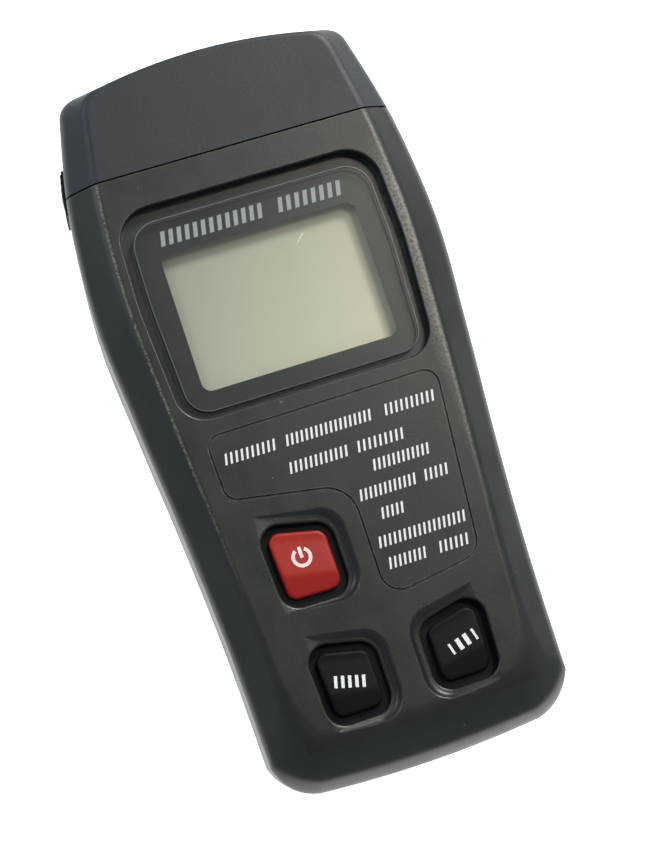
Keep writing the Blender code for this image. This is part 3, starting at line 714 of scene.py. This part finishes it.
def fibreglass():
    """Green solder mask over a woven board, with a faint weave and darker copper runs."""
    paint = Paint("fibreglass", (0.016, 0.11, 0.045), 0.35)
    runs = paint.noise(1.2, 0.0, (1.0, 8.0, 1.0))
    paint.tint(paint.between(runs, 0.52, 0.54, 0.0, 0.6), (0.03, 0.17, 0.07))
    paint.shade(paint.between(paint.noise(0.3, 1.0), 0.3, 0.7, 0.0, 1.0), 0.85, 1.1)
    paint.rough(paint.noise(1.0), 0.28, 0.42)
    paint.bump(runs, 0.03)
    return paint.material


def frame_print():
    """The window's dark printed frame, made a little lighter to the right by a painted reflection."""
    paint = Paint("frame_print", (0.019, 0.026, 0.026), 0.32)
    # Painted reflection: lighter towards the right.
    paint.tint(paint.along("X", -0.006, 0.021), (0.046, 0.046, 0.041))
    paint.shade(paint.between(paint.noise(0.2, 2.0), 0.3, 0.7, 0.0, 1.0), 0.93, 1.07)
    paint.rough(paint.noise(4.0), 0.29, 0.35)
    return paint.material


def wrap():
    """A battery's foil: dark, with a copper-coloured band at its terminal end and a thin light line."""
    paint = Paint("battery_wrap", (0.014, 0.015, 0.018), 0.28, Specular_IOR_Level=0.6)
    paint.tint(paint.along("Y", -0.0262, -0.0260), (0.60, 0.60, 0.58))
    paint.tint(paint.along("Y", -0.0252, -0.0250), (0.42, 0.17, 0.06))
    paint.shade(paint.between(paint.noise(2.0, 3.0), 0.3, 0.7, 0.0, 1.0), 0.9, 1.08)
    paint.rough(paint.noise(4.0, 3.0, (1.0, 3.0, 1.0)), 0.22, 0.36)
    paint.bump(paint.noise(3.0, 2.0), 0.03)
    return paint.material


KEY_FINISH = {"grain": 0.25, "depth": 0.006, "patchy": 0.1}
# The moulded materials: colour, roughness, and what else differs from the usual.
PLASTICS = {
    # The front's light colour marks its rubbed edges and its painted glints; its darkest one is painted shade
    # in the thumb dishes.
    "case_front": (
        (0.0135, 0.0165, 0.0155), 0.35, {"worn": (0.17, 0.163, 0.145), "sunk": (0.005, 0.006, 0.006)},
    ),
    "case_rear": ((0.014, 0.018, 0.021), 0.38, {"grain": 0.4, "depth": 0.02, "worn": (0.08, 0.085, 0.085)}),
    "cap": ((0.005, 0.0105, 0.0165), 0.47, {"grain": 0.4, "depth": 0.014}),
    "red_key": ((0.33, 0.014, 0.010), 0.42, {**KEY_FINISH, "Specular_IOR_Level": 0.3}),
    "black_key": ((0.004, 0.006, 0.007), 0.5, {**KEY_FINISH, "Specular_IOR_Level": 0.14}),
    "silicone": ((0.25, 0.25, 0.24), 0.65, {"grain": 0.5}),
    "chip": ((0.012, 0.012, 0.012), 0.45, {"grain": 0.15, "depth": 0.01}),
    "ceramic": ((0.10, 0.085, 0.07), 0.4, {"grain": 0.2}),
    "trimmer": ((0.04, 0.12, 0.42), 0.4, {"grain": 0.2}),
    "block": ((0.011, 0.011, 0.012), 0.48, {}),
    "battery_can": ((0.09, 0.10, 0.12), 0.32, {"grain": 0.6, "depth": 0.006}),
    "rubber": ((0.022, 0.022, 0.022), 0.75, {"grain": 0.3, "depth": 0.03}),
    "red_wire": ((0.42, 0.02, 0.02), 0.45, {"grain": 0.3, "depth": 0.008}),
    "black_wire": ((0.012, 0.012, 0.012), 0.45, {"grain": 0.3, "depth": 0.008}),
}
MATERIALS = {name: moulded(name, *plain, **more) for name, (*plain, more) in PLASTICS.items()}
MATERIALS |= {
    "lens": window_plastic(),
    "lcd": display_film(),
    "board": fibreglass(),
    "steel": brushed("steel", (0.62, 0.62, 0.60), 0.24),
    "brass": brushed("brass", (0.72, 0.53, 0.26), 0.3),
    "zinc_screw": brushed("zinc_screw", (0.47, 0.47, 0.46), 0.34, (1.0, 1.0, 1.0)),
}
BATTERY_WRAP = wrap()
FRAME_PRINT = frame_print()
SCUFF = printed("scuff", (0.72, 0.72, 0.66))
# A light grey ring that stands in for the bright edge of the clear plate: a painted highlight.
WINDOW_EDGE_GLINT = moulded("window_edge_glint", (0.13, 0.135, 0.13), 0.3, grain=0.3, depth=0.002)
WHITE_INK = printed("white_ink", (0.80, 0.82, 0.82))
SILVER_INK = printed("silver_ink", (0.44, 0.48, 0.48))
PINK_INK = printed("pink_ink", (0.80, 0.68, 0.66))


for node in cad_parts.values():
    for slot in node.material_slots:
        slot.material = MATERIALS[slot.material.name]


# ---- The case, the cap and the door ----


def whole_case():
    """Both halves of the case in one, hollow, with the cap's neck and the opening for the probe head."""
    case = case_solid(0.0, high_y=SEAM_Y - SEAM_GAP / 2)
    join(case, case_solid(CAP_WALL + CAP_CLEARANCE, SEAM_Y - 6.0, NECK_TOP))
    cut(case, case_solid(WALL, high_y=CAVITY_TOP))
    half, low, high = NECK_HOLLOW
    cut(case, box((-half, CAVITY_TOP - 1.0, low), (half, NECK_WALL_Y, high)))
    (x0, _, z0), (x1, y1, z1) = BLOCK_NOSE
    cut(case, box((x0 - GAP, NECK_WALL_Y - 1.0, z0 - GAP), (x1 + GAP, y1, z1 + GAP)))
    for side in (-1, 1):
        cut(case, cap_pad(side, GAP, SEAM_Y + 3.0))
    return case


def copy_of(obj, name):
    twin = bpy.data.objects.new(name, obj.data.copy())
    bpy.context.scene.collection.objects.link(twin)
    return twin


def well_outlines():
    power = rounded(POWER_WELL, (WELL_RADIUS,) * 4)
    mode = rounded(MODE_WELL, (WELL_RADIUS,) * 4)
    return {"power": power, "mode": mode, "hold": mirrored(mode)}


def dish_floor(outline):
    """The height of a thumb dish: level with the panel on its outer side, deeper towards the middle."""
    xs = [x for x, _ in outline]
    outer, inner = (min(xs), max(xs)) if max(xs) < 0 else (max(xs), min(xs))
    start = outer + DISH_START * (inner - outer)
    return lambda x: THICKNESS + PAST_FACE - DISH_DEPTH * max((x - start) / (inner - start), 0.0)


def dish(outline, hole):
    """A cutter for a thumb dish that falls in a soft step from its outline to the well in it."""
    height = dish_floor(outline)
    rings = []
    for step in range(DISH_STEPS + 1):
        t = step / DISH_STEPS
        rise = (t ** 2) ** 2 * (3 - 2 * t ** 2)
        ring = []
        for (x0, y0), (x1, y1) in zip(hole, outline):
            x, y = x0 + (x1 - x0) * t, y0 + (y1 - y0) * t
            ring.append((x, y, height(x) + (THICKNESS + PAST_FACE - height(x)) * rise))
        rings.append(ring)
    rings.append([(x, y, THICKNESS + 2.0) for x, y in inset(outline, -0.05)])
    return loft(rings)


def well(outline, dish_outline, radius=0.4, steps=5):
    """A key's well, with a round rim where it meets the dish around it."""
    height = dish_floor(dish_outline)
    rings = [[(x, y, WELL_FLOOR) for x, y in outline]]
    for step in range(steps + 1):
        turn = math.radians(90.0 * step / steps)
        spread, drop = radius * (1 - math.cos(turn)), radius * (1 - math.sin(turn))
        lift = 0.003 if step == steps else 0.0
        rings.append([(x, y, height(x) - drop + lift) for x, y in inset(outline, -spread)])
    rings.append([(x, y, THICKNESS + 2.0) for x, y in inset(outline, -radius - 0.02)])
    return loft(rings)


def legend_groove():
    outline = rounded(LEGEND, LEGEND_RADII)
    groove = prism(inset(outline, -GROOVE / 2), THICKNESS - GROOVE, THICKNESS + 1.0)
    return cut(groove, prism(inset(outline, GROOVE / 2), 0.0, 40.0))


def front_shell(case):
    front = keep(copy_of(case, "front"), box((-50, -80, PARTING_Z + PARTING_GAP / 2), (50, 80, 50)))
    join(front, box(*SEAT))
    cut(front, flared(rounded(POCKET, POCKET_RADII), POCKET_FLOOR, THICKNESS, 0.35))
    cut(front, opening(*WINDOW, 4))
    mode = rounded(MODE_DISH, DISH_RADII)
    dishes = (rounded(POWER_DISH, DISH_RADII), mode, mirrored(mode))
    for outline, around in zip(well_outlines().values(), dishes):
        cut(front, dish(around, outline))
        cut(front, well(outline, around))
    cut(front, legend_groove())
    finish(front, "front_shell", MATERIALS["case_front"], "case", ("front_housing",))


def rear_shell(case):
    rear = keep(copy_of(case, "rear"), box((-50, -80, -20), (50, 80, PARTING_Z - PARTING_GAP / 2)))
    (x0, y0), (x1, y1) = COMPARTMENT
    wall = COMPARTMENT_WALL
    join(rear, box(*LEDGE))
    join(rear, box((x0 - wall, y0 - wall, 2.5), (x1 + wall, y1 + wall, COMPARTMENT_ROOF[1])))
    for x, y in CASE_SCREWS:
        join(rear, turned(((SCREW_BOSS, 1.0), (SCREW_BOSS, PARTING_Z - PARTING_GAP / 2 - 0.05)), (x, y, 0)))
    cut(rear, box((x0, y0, -5.0), (x1, y1, COMPARTMENT_ROOF[0])))
    cut(rear, box((-DOOR_HALF - GAP, -80.0, -5.0), (DOOR_HALF + GAP, DOOR_TOP + GAP, LEDGE_Z)))
    half, length, low = TONGUE
    cut(rear, box((-half - GAP, DOOR_TOP - 1.0, low - GAP), (half + GAP, DOOR_TOP + length + GAP, LEDGE_Z)))
    cut(rear, box(*LEAD_NOTCH))
    radius, depth = COUNTERBORE
    for x, y in CASE_SCREWS:
        rim = [(radius + wider, z) for wider, z in ((0.15, -1.0), (0.15, 0.0), (0.04, 0.06), (0.0, 0.15))]
        cut(rear, turned([*rim, (radius, depth)], (x, y, 0)))
        cut(rear, turned(((SCREW_HOLE, 5.0), (SCREW_HOLE, 30.0)), (x, y, 0), sides=16))
    finish(rear, "rear_shell", MATERIALS["case_rear"], "case", ("rear_housing",))


def door():
    door_piece = case_solid(0.0, high_y=DOOR_TOP)
    keep(door_piece, box((-DOOR_HALF, -80, -5), (DOOR_HALF, 0, DOOR_THICK)))
    half, length, low = TONGUE
    join(door_piece, box((-half, DOOR_TOP - 2.0, low), (half, DOOR_TOP + length, DOOR_THICK)))
    for y in GRIP_Y:
        groove = turned(GRIP_GROOVE, (0.0, 0.0, 0.0), axis="Y")
        groove.rotation_euler = (0.0, 0.0, math.radians(90.0))
        groove.location = Vector((0.0, y, GRIP_Z)) * MM
        cut(door_piece, groove)
    finish(door_piece, "door_cover", MATERIALS["case_rear"], "door", ("battery_door",))


def cap_shell():
    cap = case_solid(0.0, low_y=SEAM_Y + SEAM_GAP / 2)
    cut(cap, case_solid(CAP_WALL))
    for side in (-1, 1):
        join(cap, cap_pad(side, 0.0, PAD_Y[1]))
        for y in RIB_Y:
            rib = case_solid(-PAD_PROUD - RIB_PROUD, y - RIB_WIDTH / 2, y + RIB_WIDTH / 2)
            cut(rib, case_solid(RIB_SET))
            keep(rib, side_box(side, PAD_Z[0] + RIB_END, PAD_Z[1] - RIB_END))
            join(cap, rib)
    finish(cap, "cap_shell", MATERIALS["cap"], "cap", ("protective_cap",))


# ---- The display window ----

# The light ring on the window plate's edge, a painted highlight: how far inside its outline, and the height.
LENS_EDGE = ((0.16, 28.0), (-0.04, 28.0), (-0.04, 28.3), (0.05, 28.42), (0.16, 28.44))


LENS_ROUND = 0.3
PLATE_ABOVE_PRINT = 0.5
OPENING_RADIUS = 1.7


def opening(low, high, steps=9):
    """A cutter for a rectangular window with round corners."""
    (x0, y0), (x1, y1) = low, high
    outline = rounded(((x0, y0), (x1, y0), (x1, y1), (x0, y1)), (OPENING_RADIUS,) * 4, steps)
    return prism(outline, 20.0, 40.0)


def window():
    """The window plate, a light ring on its edge that is a painted highlight, the print under it and the
    display cell.
    """
    lens = rounded(LENS, LENS_RADII)
    rings = [[(x, y, LENS_Z[0] + PLATE_ABOVE_PRINT) for x, y in lens]]
    for step in range(6):
        turn = math.radians(18.0 * step)
        spread, drop = LENS_ROUND * (1 - math.cos(turn)), LENS_ROUND * (1 - math.sin(turn))
        rings.append([(x, y, LENS_Z[1] - drop) for x, y in inset(lens, spread)])
    plate = loft(rings)
    finish(plate, "window_plate", MATERIALS["lens"], "case", ("display_lens",))
    edge = [[(x, y, z) for x, y in inset(lens, inward)] for inward, z in LENS_EDGE]
    # The light ring on the plate's edge: a painted highlight.
    finish(loft(edge, round_a_hole=True), "window_edge_glint", WINDOW_EDGE_GLINT, "case", ())
    ink = prism(inset(lens, 0.15), LENS_Z[0], LENS_Z[0] + PRINT_THICK)
    cut(ink, opening(*SIGHT))
    finish(ink, "window_print", FRAME_PRINT, "case", ())
    finish(box(*LCD_GLASS), "display_cell", MATERIALS["lcd"], "case", ("lcd_glass",))


# ---- The keys ----

SKIRT_Z = 27.3
KEY_RING_POINTS = 120
KEY_RINGS = 26
KEY_ROUND = 0.55
STRIP_SLOPE = 0.06
FACET_SLOPE = 0.07
END_SLOPE = 0.20
VALLEY_ROUND = 0.3
RIDGE_ROUND = 0.4
VALLEY_DROP = 0.62
CROWN = 0.002


def crease(s, width):
    """A ramp that starts at zero, with its start rounded over a width."""
    return (s + math.sqrt(s * s + width * width)) / 2 - width / 2


class Key:
    """A key cap with a folded top: a strip falls to a valley, a facet rises to a ridge, and the end falls."""

    def __init__(self, name, outline, side, made_of, slot, valley, ridge):
        self.name, self.side, self.made_of, self.slot = name, side, made_of, slot
        self.body = inset(outline, KEY_INSET)
        xs, ys = [x for x, _ in self.body], [y for _, y in self.body]
        self.x, self.y = (min(xs) + max(xs)) / 2, (min(ys) + max(ys)) / 2
        self.valley, self.ridge = valley, ridge

    def height(self, x, y):
        """The height of the folded top above a point."""
        along = (x - self.x) * self.side
        (valley_y, valley_slope), (ridge_y, ridge_slope) = self.valley, self.ridge
        above_valley = y - (valley_y + valley_slope * along)
        below_ridge = (ridge_y + ridge_slope * along) - y
        rise = STRIP_SLOPE * crease(above_valley, VALLEY_ROUND)
        rise += FACET_SLOPE * crease(-above_valley, VALLEY_ROUND)
        fall = (FACET_SLOPE + END_SLOPE) * crease(below_ridge, RIDGE_ROUND)
        return KEY_TOP - VALLEY_DROP + rise - fall - CROWN * along * along

    def build(self):
        points = resampled(self.body, KEY_RING_POINTS)
        rings = [[(x, y, FLANGE_Z[0] + 0.2) for x, y in points]]
        for step in range(7):
            turn = math.radians(15.0 * step)
            inward, drop = KEY_ROUND * (1 - math.cos(turn)), KEY_ROUND * (1 - math.sin(turn))
            rings.append([(x, y, self.height(x, y) - drop) for x, y in inset(points, inward)])
        rim = inset(points, KEY_ROUND)
        for step in range(1, KEY_RINGS + 1):
            share = 1 - 0.97 * step / KEY_RINGS
            ring = [(self.x + (x - self.x) * share, self.y + (y - self.y) * share) for x, y in rim]
            rings.append([(x, y, self.height(x, y)) for x, y in ring])
        cap = loft(rings)
        outline = inset(self.body, -KEY_INSET - FLANGE_LAP)
        join(cap, prism(outline, *FLANGE_Z))
        join(cap, turned(((STEM, STEM_BOTTOM), (STEM, FLANGE_Z[0] + 0.3)), (self.x, self.y, 0)))
        name = self.name
        finish(cap, f"{name}_key_cap", self.made_of, f"{name}_key", (f"{name}_button",), 40.0)
        cap.data.materials.append(MATERIALS["black_key"])
        for face in cap.data.polygons:
            if face.center.z < SKIRT_Z * MM:
                face.material_index = 1


MARK_DEPTH = 0.05


def marks(name, ladders, made_of, body, surface, thick=0.03):
    """Thin printed shapes on a surface given by a height function, each a ladder of (left, right) points."""
    bm = bmesh.new()
    for ladder in ladders:
        rungs = []
        for left, right in ladder:
            corners = ((left, -MARK_DEPTH), (right, -MARK_DEPTH), (right, thick), (left, thick))
            rungs.append([bm.verts.new((x, y, surface(x, y) + lift)) for (x, y), lift in corners])
        for low, high in zip(rungs, rungs[1:]):
            for i in range(4):
                j = (i + 1) % 4
                bm.faces.new((low[i], low[j], high[j], high[i]))
        bm.faces.new(rungs[0])
        bm.faces.new(rungs[-1])
    finish(add_object(name, bm), name, made_of, body)


LEAN = 0.22


def slanted(x, y, width, height):
    """A bar with its foot at a point, leaning like italics."""
    over = LEAN * height
    return [((x, y), (x + width, y)), ((x + over, y + height), (x + width + over, y + height))]


def flat(height):
    return lambda x, y: height


def ticks(x0, x1, y, height, width, pitch):
    """An even run of slanted bars between two places, a generic stand-in for a printed word."""
    span = x1 - x0 - LEAN * height - width
    count = max(int(span / pitch), 1)
    return [slanted(x0 + span * k / count, y, width, height) for k in range(count + 1)]


# Rows of print: the height of the foot of the row, and where each run of ticks starts and ends.
LEGEND_ROWS = (
    (-7.1, ((-18.0, -8.9), (-7.3, 8.0), (10.2, 19.3))),
    (-11.7, ((-8.2, 2.3), (3.8, 12.2))),
    (-15.4, ((5.3, 15.5),)),
    (-19.6, ((1.5, 11.7), (13.0, 17.4))),
    (-23.5, ((4.0, 8.2),)),
    (-28.0, ((2.0, 17.6),)),
    (-31.8, ((2.5, 9.3), (11.4, 16.8))),
)
# A tick's height, width and pitch.
LEGEND_TICK = (1.9, 0.36, 0.85)
TITLE_Y = 32.0
TITLE_WORDS = ((-16.5, 2.1), (4.5, 16.3))
TITLE_TICK = (2.6, 0.75, 1.4)
SCRATCH = (((5.46, 25.74), (5.52, 25.68)), ((6.98, 27.15), (7.1, 27.05)))
POWER_MARK = (-10.7, -25.3)
POWER_RING = (1.75, 1.15, 64.0)
POWER_BAR = (-0.3, -0.1, 0.3, 1.75)
MODE_MARK = (-9.7, -47.1, -15.0)
MODE_BARS = tuple((left, -1.0, left + 0.55, 1.0) for left in (-2.6, -1.44, -0.28, 0.88, 2.04))
HOLD_MARK = (10.3, -46.8, 15.0)
HOLD_BARS = ((-2.5, -1.0, -2.1, 1.0), (-1.1, -1.0, -0.35, 1.0), (0.35, -1.0, 1.1, 1.0), (2.1, -1.0, 2.5, 1.0))


def ring_with_gap(x, y, outer, inner, open_degrees, steps=30):
    """A ring that is open at the top."""
    start, sweep = 90.0 + open_degrees / 2, 360.0 - open_degrees
    rungs = []
    for k in range(steps + 1):
        turn = math.radians(start + sweep * k / steps)
        cos, sin = math.cos(turn), math.sin(turn)
        rungs.append(((x + inner * cos, y + inner * sin), (x + outer * cos, y + outer * sin)))
    return rungs


def bars_along(x, y, turn, boxes, steps=4):
    """Boxes, as (left, low, right, high) about a point, turned by an angle and split so that they bend."""
    cos, sin = math.cos(math.radians(turn)), math.sin(math.radians(turn))
    ladders = []
    for x0, y0, x1, y1 in boxes:
        heights = [y0 + (y1 - y0) * k / steps for k in range(steps + 1)]
        ladders.append([
            tuple((x + px * cos - py * sin, y + px * sin + py * cos) for px in (x0, x1)) for py in heights
        ])
    return ladders


def printed_marks(power, mode, hold):
    """All the print: generic bars and ticks where the real meter has words, and the power symbol."""
    legend = []
    for y, words in LEGEND_ROWS:
        for x0, x1 in words:
            legend += ticks(x0, x1, y, *LEGEND_TICK)
    marks("legend_marks", legend, WHITE_INK, "case", flat(THICKNESS))
    title = [bar for x0, x1 in TITLE_WORDS for bar in ticks(x0, x1, TITLE_Y, *TITLE_TICK)]
    marks("title_marks", title, SILVER_INK, "case", flat(LENS_Z[0] + PRINT_THICK + 0.02))
    marks("window_scratch", [SCRATCH], SCUFF, "case", flat(LENS_Z[1]), 0.01)
    symbol = [ring_with_gap(*POWER_MARK, *POWER_RING)] + bars_along(*POWER_MARK, 0.0, (POWER_BAR,))
    marks("power_symbol", symbol, PINK_INK, "power_key", power.height)
    marks("mode_marks", bars_along(*MODE_MARK, MODE_BARS), WHITE_INK, "mode_key", mode.height)
    marks("hold_marks", bars_along(*HOLD_MARK, HOLD_BARS), WHITE_INK, "hold_key", hold.height)


# ---- The probe head and the battery ----

PIN_X, PIN_Z = 13.0, 14.5
PIN_HOLE = 1.3
PIN = ((1.0, 43.0), (1.0, 55.5), (0.94, 56.3), (0.75, 57.8), (0.55, 58.9), (0.3, 59.9), (0.08, 60.5))
COLLAR = ((2.8, 53.1), (3.05, 53.2), (3.2, 53.45), (3.2, 54.6), (3.05, 54.95), (2.4, 55.2), (1.8, 55.2))
BLOCK_FLANGE = ((-20.0, 46.3, 7.5), (20.0, 48.9, 21.5))
BATTERY = ((-13.1, -58.4, 2.0), (13.1, -12.3, 19.0))
BATTERY_ROUND = 2.0
SNAP = ((-12.0, -9.3, 5.0), (12.0, -7.6, 16.0))
STUD_AT = (6.35, -12.0, 10.5)
ROUND_STUD = (
    (3.3, 0.0), (3.3, 0.25), (2.8, 0.35), (2.65, 1.2), (2.9, 1.7), (2.8, 2.05), (2.4, 2.3), (1.2, 2.2),
)


def block(low, high, radius, edge):
    """A block along Y with rounded long edges and softly eased ends."""
    (x0, y0, z0), (x1, y1, z1) = low, high
    section = rounded(((x0, z0), (x1, z0), (x1, z1), (x0, z1)), (radius,) * 4, 6)
    turns = [math.radians(degrees) for degrees in (0, 22, 45, 68, 90)]
    ease = [(edge * (1 - math.sin(turn)), edge * (1 - math.cos(turn))) for turn in turns]
    ends = [(y0 + along, inward) for inward, along in ease]
    ends += [(y1 - along, inward) for inward, along in reversed(ease)]
    return loft([[(x, y, z) for x, z in inset(section, inward)] for y, inward in ends])


def probe_head():
    head = join(block(*BLOCK_FLANGE, 1.2, 0.2), block(*BLOCK_NOSE, 1.6, 0.5))
    for side, label in ((-1, "left"), (1, "right")):
        at = (PIN_X * side, 0.0, PIN_Z)
        cut(head, turned(((PIN_HOLE, 30.0), (PIN_HOLE, 70.0)), at, axis="Y"))
        pin = turned(PIN, at, axis="Y", sides=48)
        finish(pin, f"probe_pin_{label}", MATERIALS["steel"], "case", (f"electrode_pin_{label}",))
        collar = turned(COLLAR, at, axis="Y", sides=48)
        cut(collar, turned(((PIN_HOLE, 50.0), (PIN_HOLE, 60.0)), at, axis="Y"))
        finish(collar, f"probe_collar_{label}", MATERIALS["brass"], "case", (f"pin_collar_{label}",))
    finish(head, "probe_block", MATERIALS["block"], "case", ("pin_block",))


def battery():
    can = block(*BATTERY, BATTERY_ROUND, 0.5)
    finish(can, "battery_wrap", BATTERY_WRAP, "case", ("battery",))
    stud = turned(ROUND_STUD, STUD_AT, axis="Y")
    finish(stud, "battery_terminal", MATERIALS["steel"], "case", ("battery_stud_positive",))
    finish(block(*SNAP, 2.4, 0.3), "snap_pad", MATERIALS["rubber"], "case", ("battery_snap",))


# ---- Building it all ----

case = whole_case()
front_shell(case)
rear_shell(case)
bpy.data.objects.remove(case, do_unlink=True)
door()
cap_shell()
window()
wells = well_outlines()
power_key = Key("power", wells["power"], 1, MATERIALS["red_key"], "red_key", (-22.6, -0.24), (-28.3, -0.2))
mode_key = Key("mode", wells["mode"], 1, MATERIALS["black_key"], "black_key", (-43.4, -0.2), (-49.0, -0.16))
hold_key = Key("hold", wells["hold"], -1, MATERIALS["black_key"], "black_key", (-43.4, -0.2), (-49.0, -0.16))
for each in (power_key, mode_key, hold_key):
    each.build()
printed_marks(power_key, mode_key, hold_key)
probe_head()
battery()


# ---- Floor, light and camera ----

FLOOR_SIZE = 6.0


def floor():
    bm = bmesh.new()
    bmesh.ops.create_grid(bm, x_segments=1, y_segments=1, size=FLOOR_SIZE / MM / 2)
    ground = add_object("floor", bm)
    paint = Paint(
        "floor_paper", (0.93, 0.93, 0.93), 0.75, Emission_Color=(1.0, 1.0, 1.0, 1.0), Emission_Strength=1.0
    )
    paint.shade(paint.between(paint.noise(40.0), 0.3, 0.7, 0.0, 1.0), 0.995, 1.0)
    ground.data.materials.append(paint.material)
    ground.location = (0.0, 0.0, cad_box[0].z - 0.0002)


LIGHT_AIM = Vector((0.0, 0.0, 0.02))


def area_light(name, place, size, power, colour):
    """A square soft light at a place, turned towards the meter."""
    data = bpy.data.lights.new(name, "AREA")
    data.shape = "RECTANGLE"
    data.size = data.size_y = size
    data.energy = power
    data.color = colour
    lamp = bpy.data.objects.new(name, data)
    lamp.location = place
    lamp.rotation_euler = (LIGHT_AIM - Vector(place)).to_track_quat("-Z", "Y").to_euler()
    bpy.context.scene.collection.objects.link(lamp)


def studio():
    """Three soft lights, and a dim sky that is lighter towards the horizon."""
    area_light("key_softbox", (0.62, 0.68, 0.66), 0.30, 11.0, (1.0, 0.985, 0.95))
    area_light("sheen_softbox", (0.44, 0.27, 1.0), 0.28, 3.2, (1.0, 0.94, 0.80))
    area_light("fill_softbox", (-0.50, 0.55, 0.70), 0.45, 2.4, (0.84, 0.94, 1.0))
    world = bpy.data.worlds.new("studio")
    world.use_nodes = True
    tree = world.node_tree
    background = tree.nodes["Background"]
    spot = tree.nodes.new("ShaderNodeTexCoord")
    split = tree.nodes.new("ShaderNodeSeparateXYZ")
    ramp = tree.nodes.new("ShaderNodeValToRGB")
    ramp.color_ramp.elements[0].position = 0.55
    ramp.color_ramp.elements[0].color = (0.36, 0.42, 0.46, 1.0)
    ramp.color_ramp.elements[1].position = 0.95
    ramp.color_ramp.elements[1].color = (0.12, 0.13, 0.14, 1.0)
    tree.links.new(spot.outputs["Generated"], split.inputs[0])
    tree.links.new(split.outputs["Z"], ramp.inputs[0])
    tree.links.new(ramp.outputs["Color"], background.inputs["Color"])
    bpy.context.scene.world = world
    bpy.context.scene.view_settings.view_transform = "Standard"


CAMERA_AT = Vector((-0.0549513, -0.0527739, 0.3544354))
CAMERA_AIM = Vector((0.0, -0.0063976, 0.029))
CAMERA_ROLL = math.radians(18.722)
FOCAL_SHARE = 2.32829
SENSOR = 36.0


def camera():
    data = bpy.data.cameras.new("camera")
    data.sensor_width = SENSOR
    data.lens = SENSOR * FOCAL_SHARE
    data.clip_start, data.clip_end = 0.01, 20.0
    seen = bpy.data.objects.new("camera", data)
    forward = (CAMERA_AIM - CAMERA_AT).normalized()
    right = forward.cross(Vector((0.0, 1.0, 0.0))).normalized()
    up = right.cross(forward)
    turned_up = up * math.cos(CAMERA_ROLL) + right * math.sin(CAMERA_ROLL)
    turned_right = forward.cross(turned_up)
    matrix = seen.matrix_world.to_3x3()
    matrix.col[0], matrix.col[1], matrix.col[2] = turned_right, turned_up, -forward
    seen.matrix_world = matrix.to_4x4()
    seen.location = CAMERA_AT
    bpy.context.scene.collection.objects.link(seen)
    bpy.context.scene.camera = seen


floor()
studio()
camera()
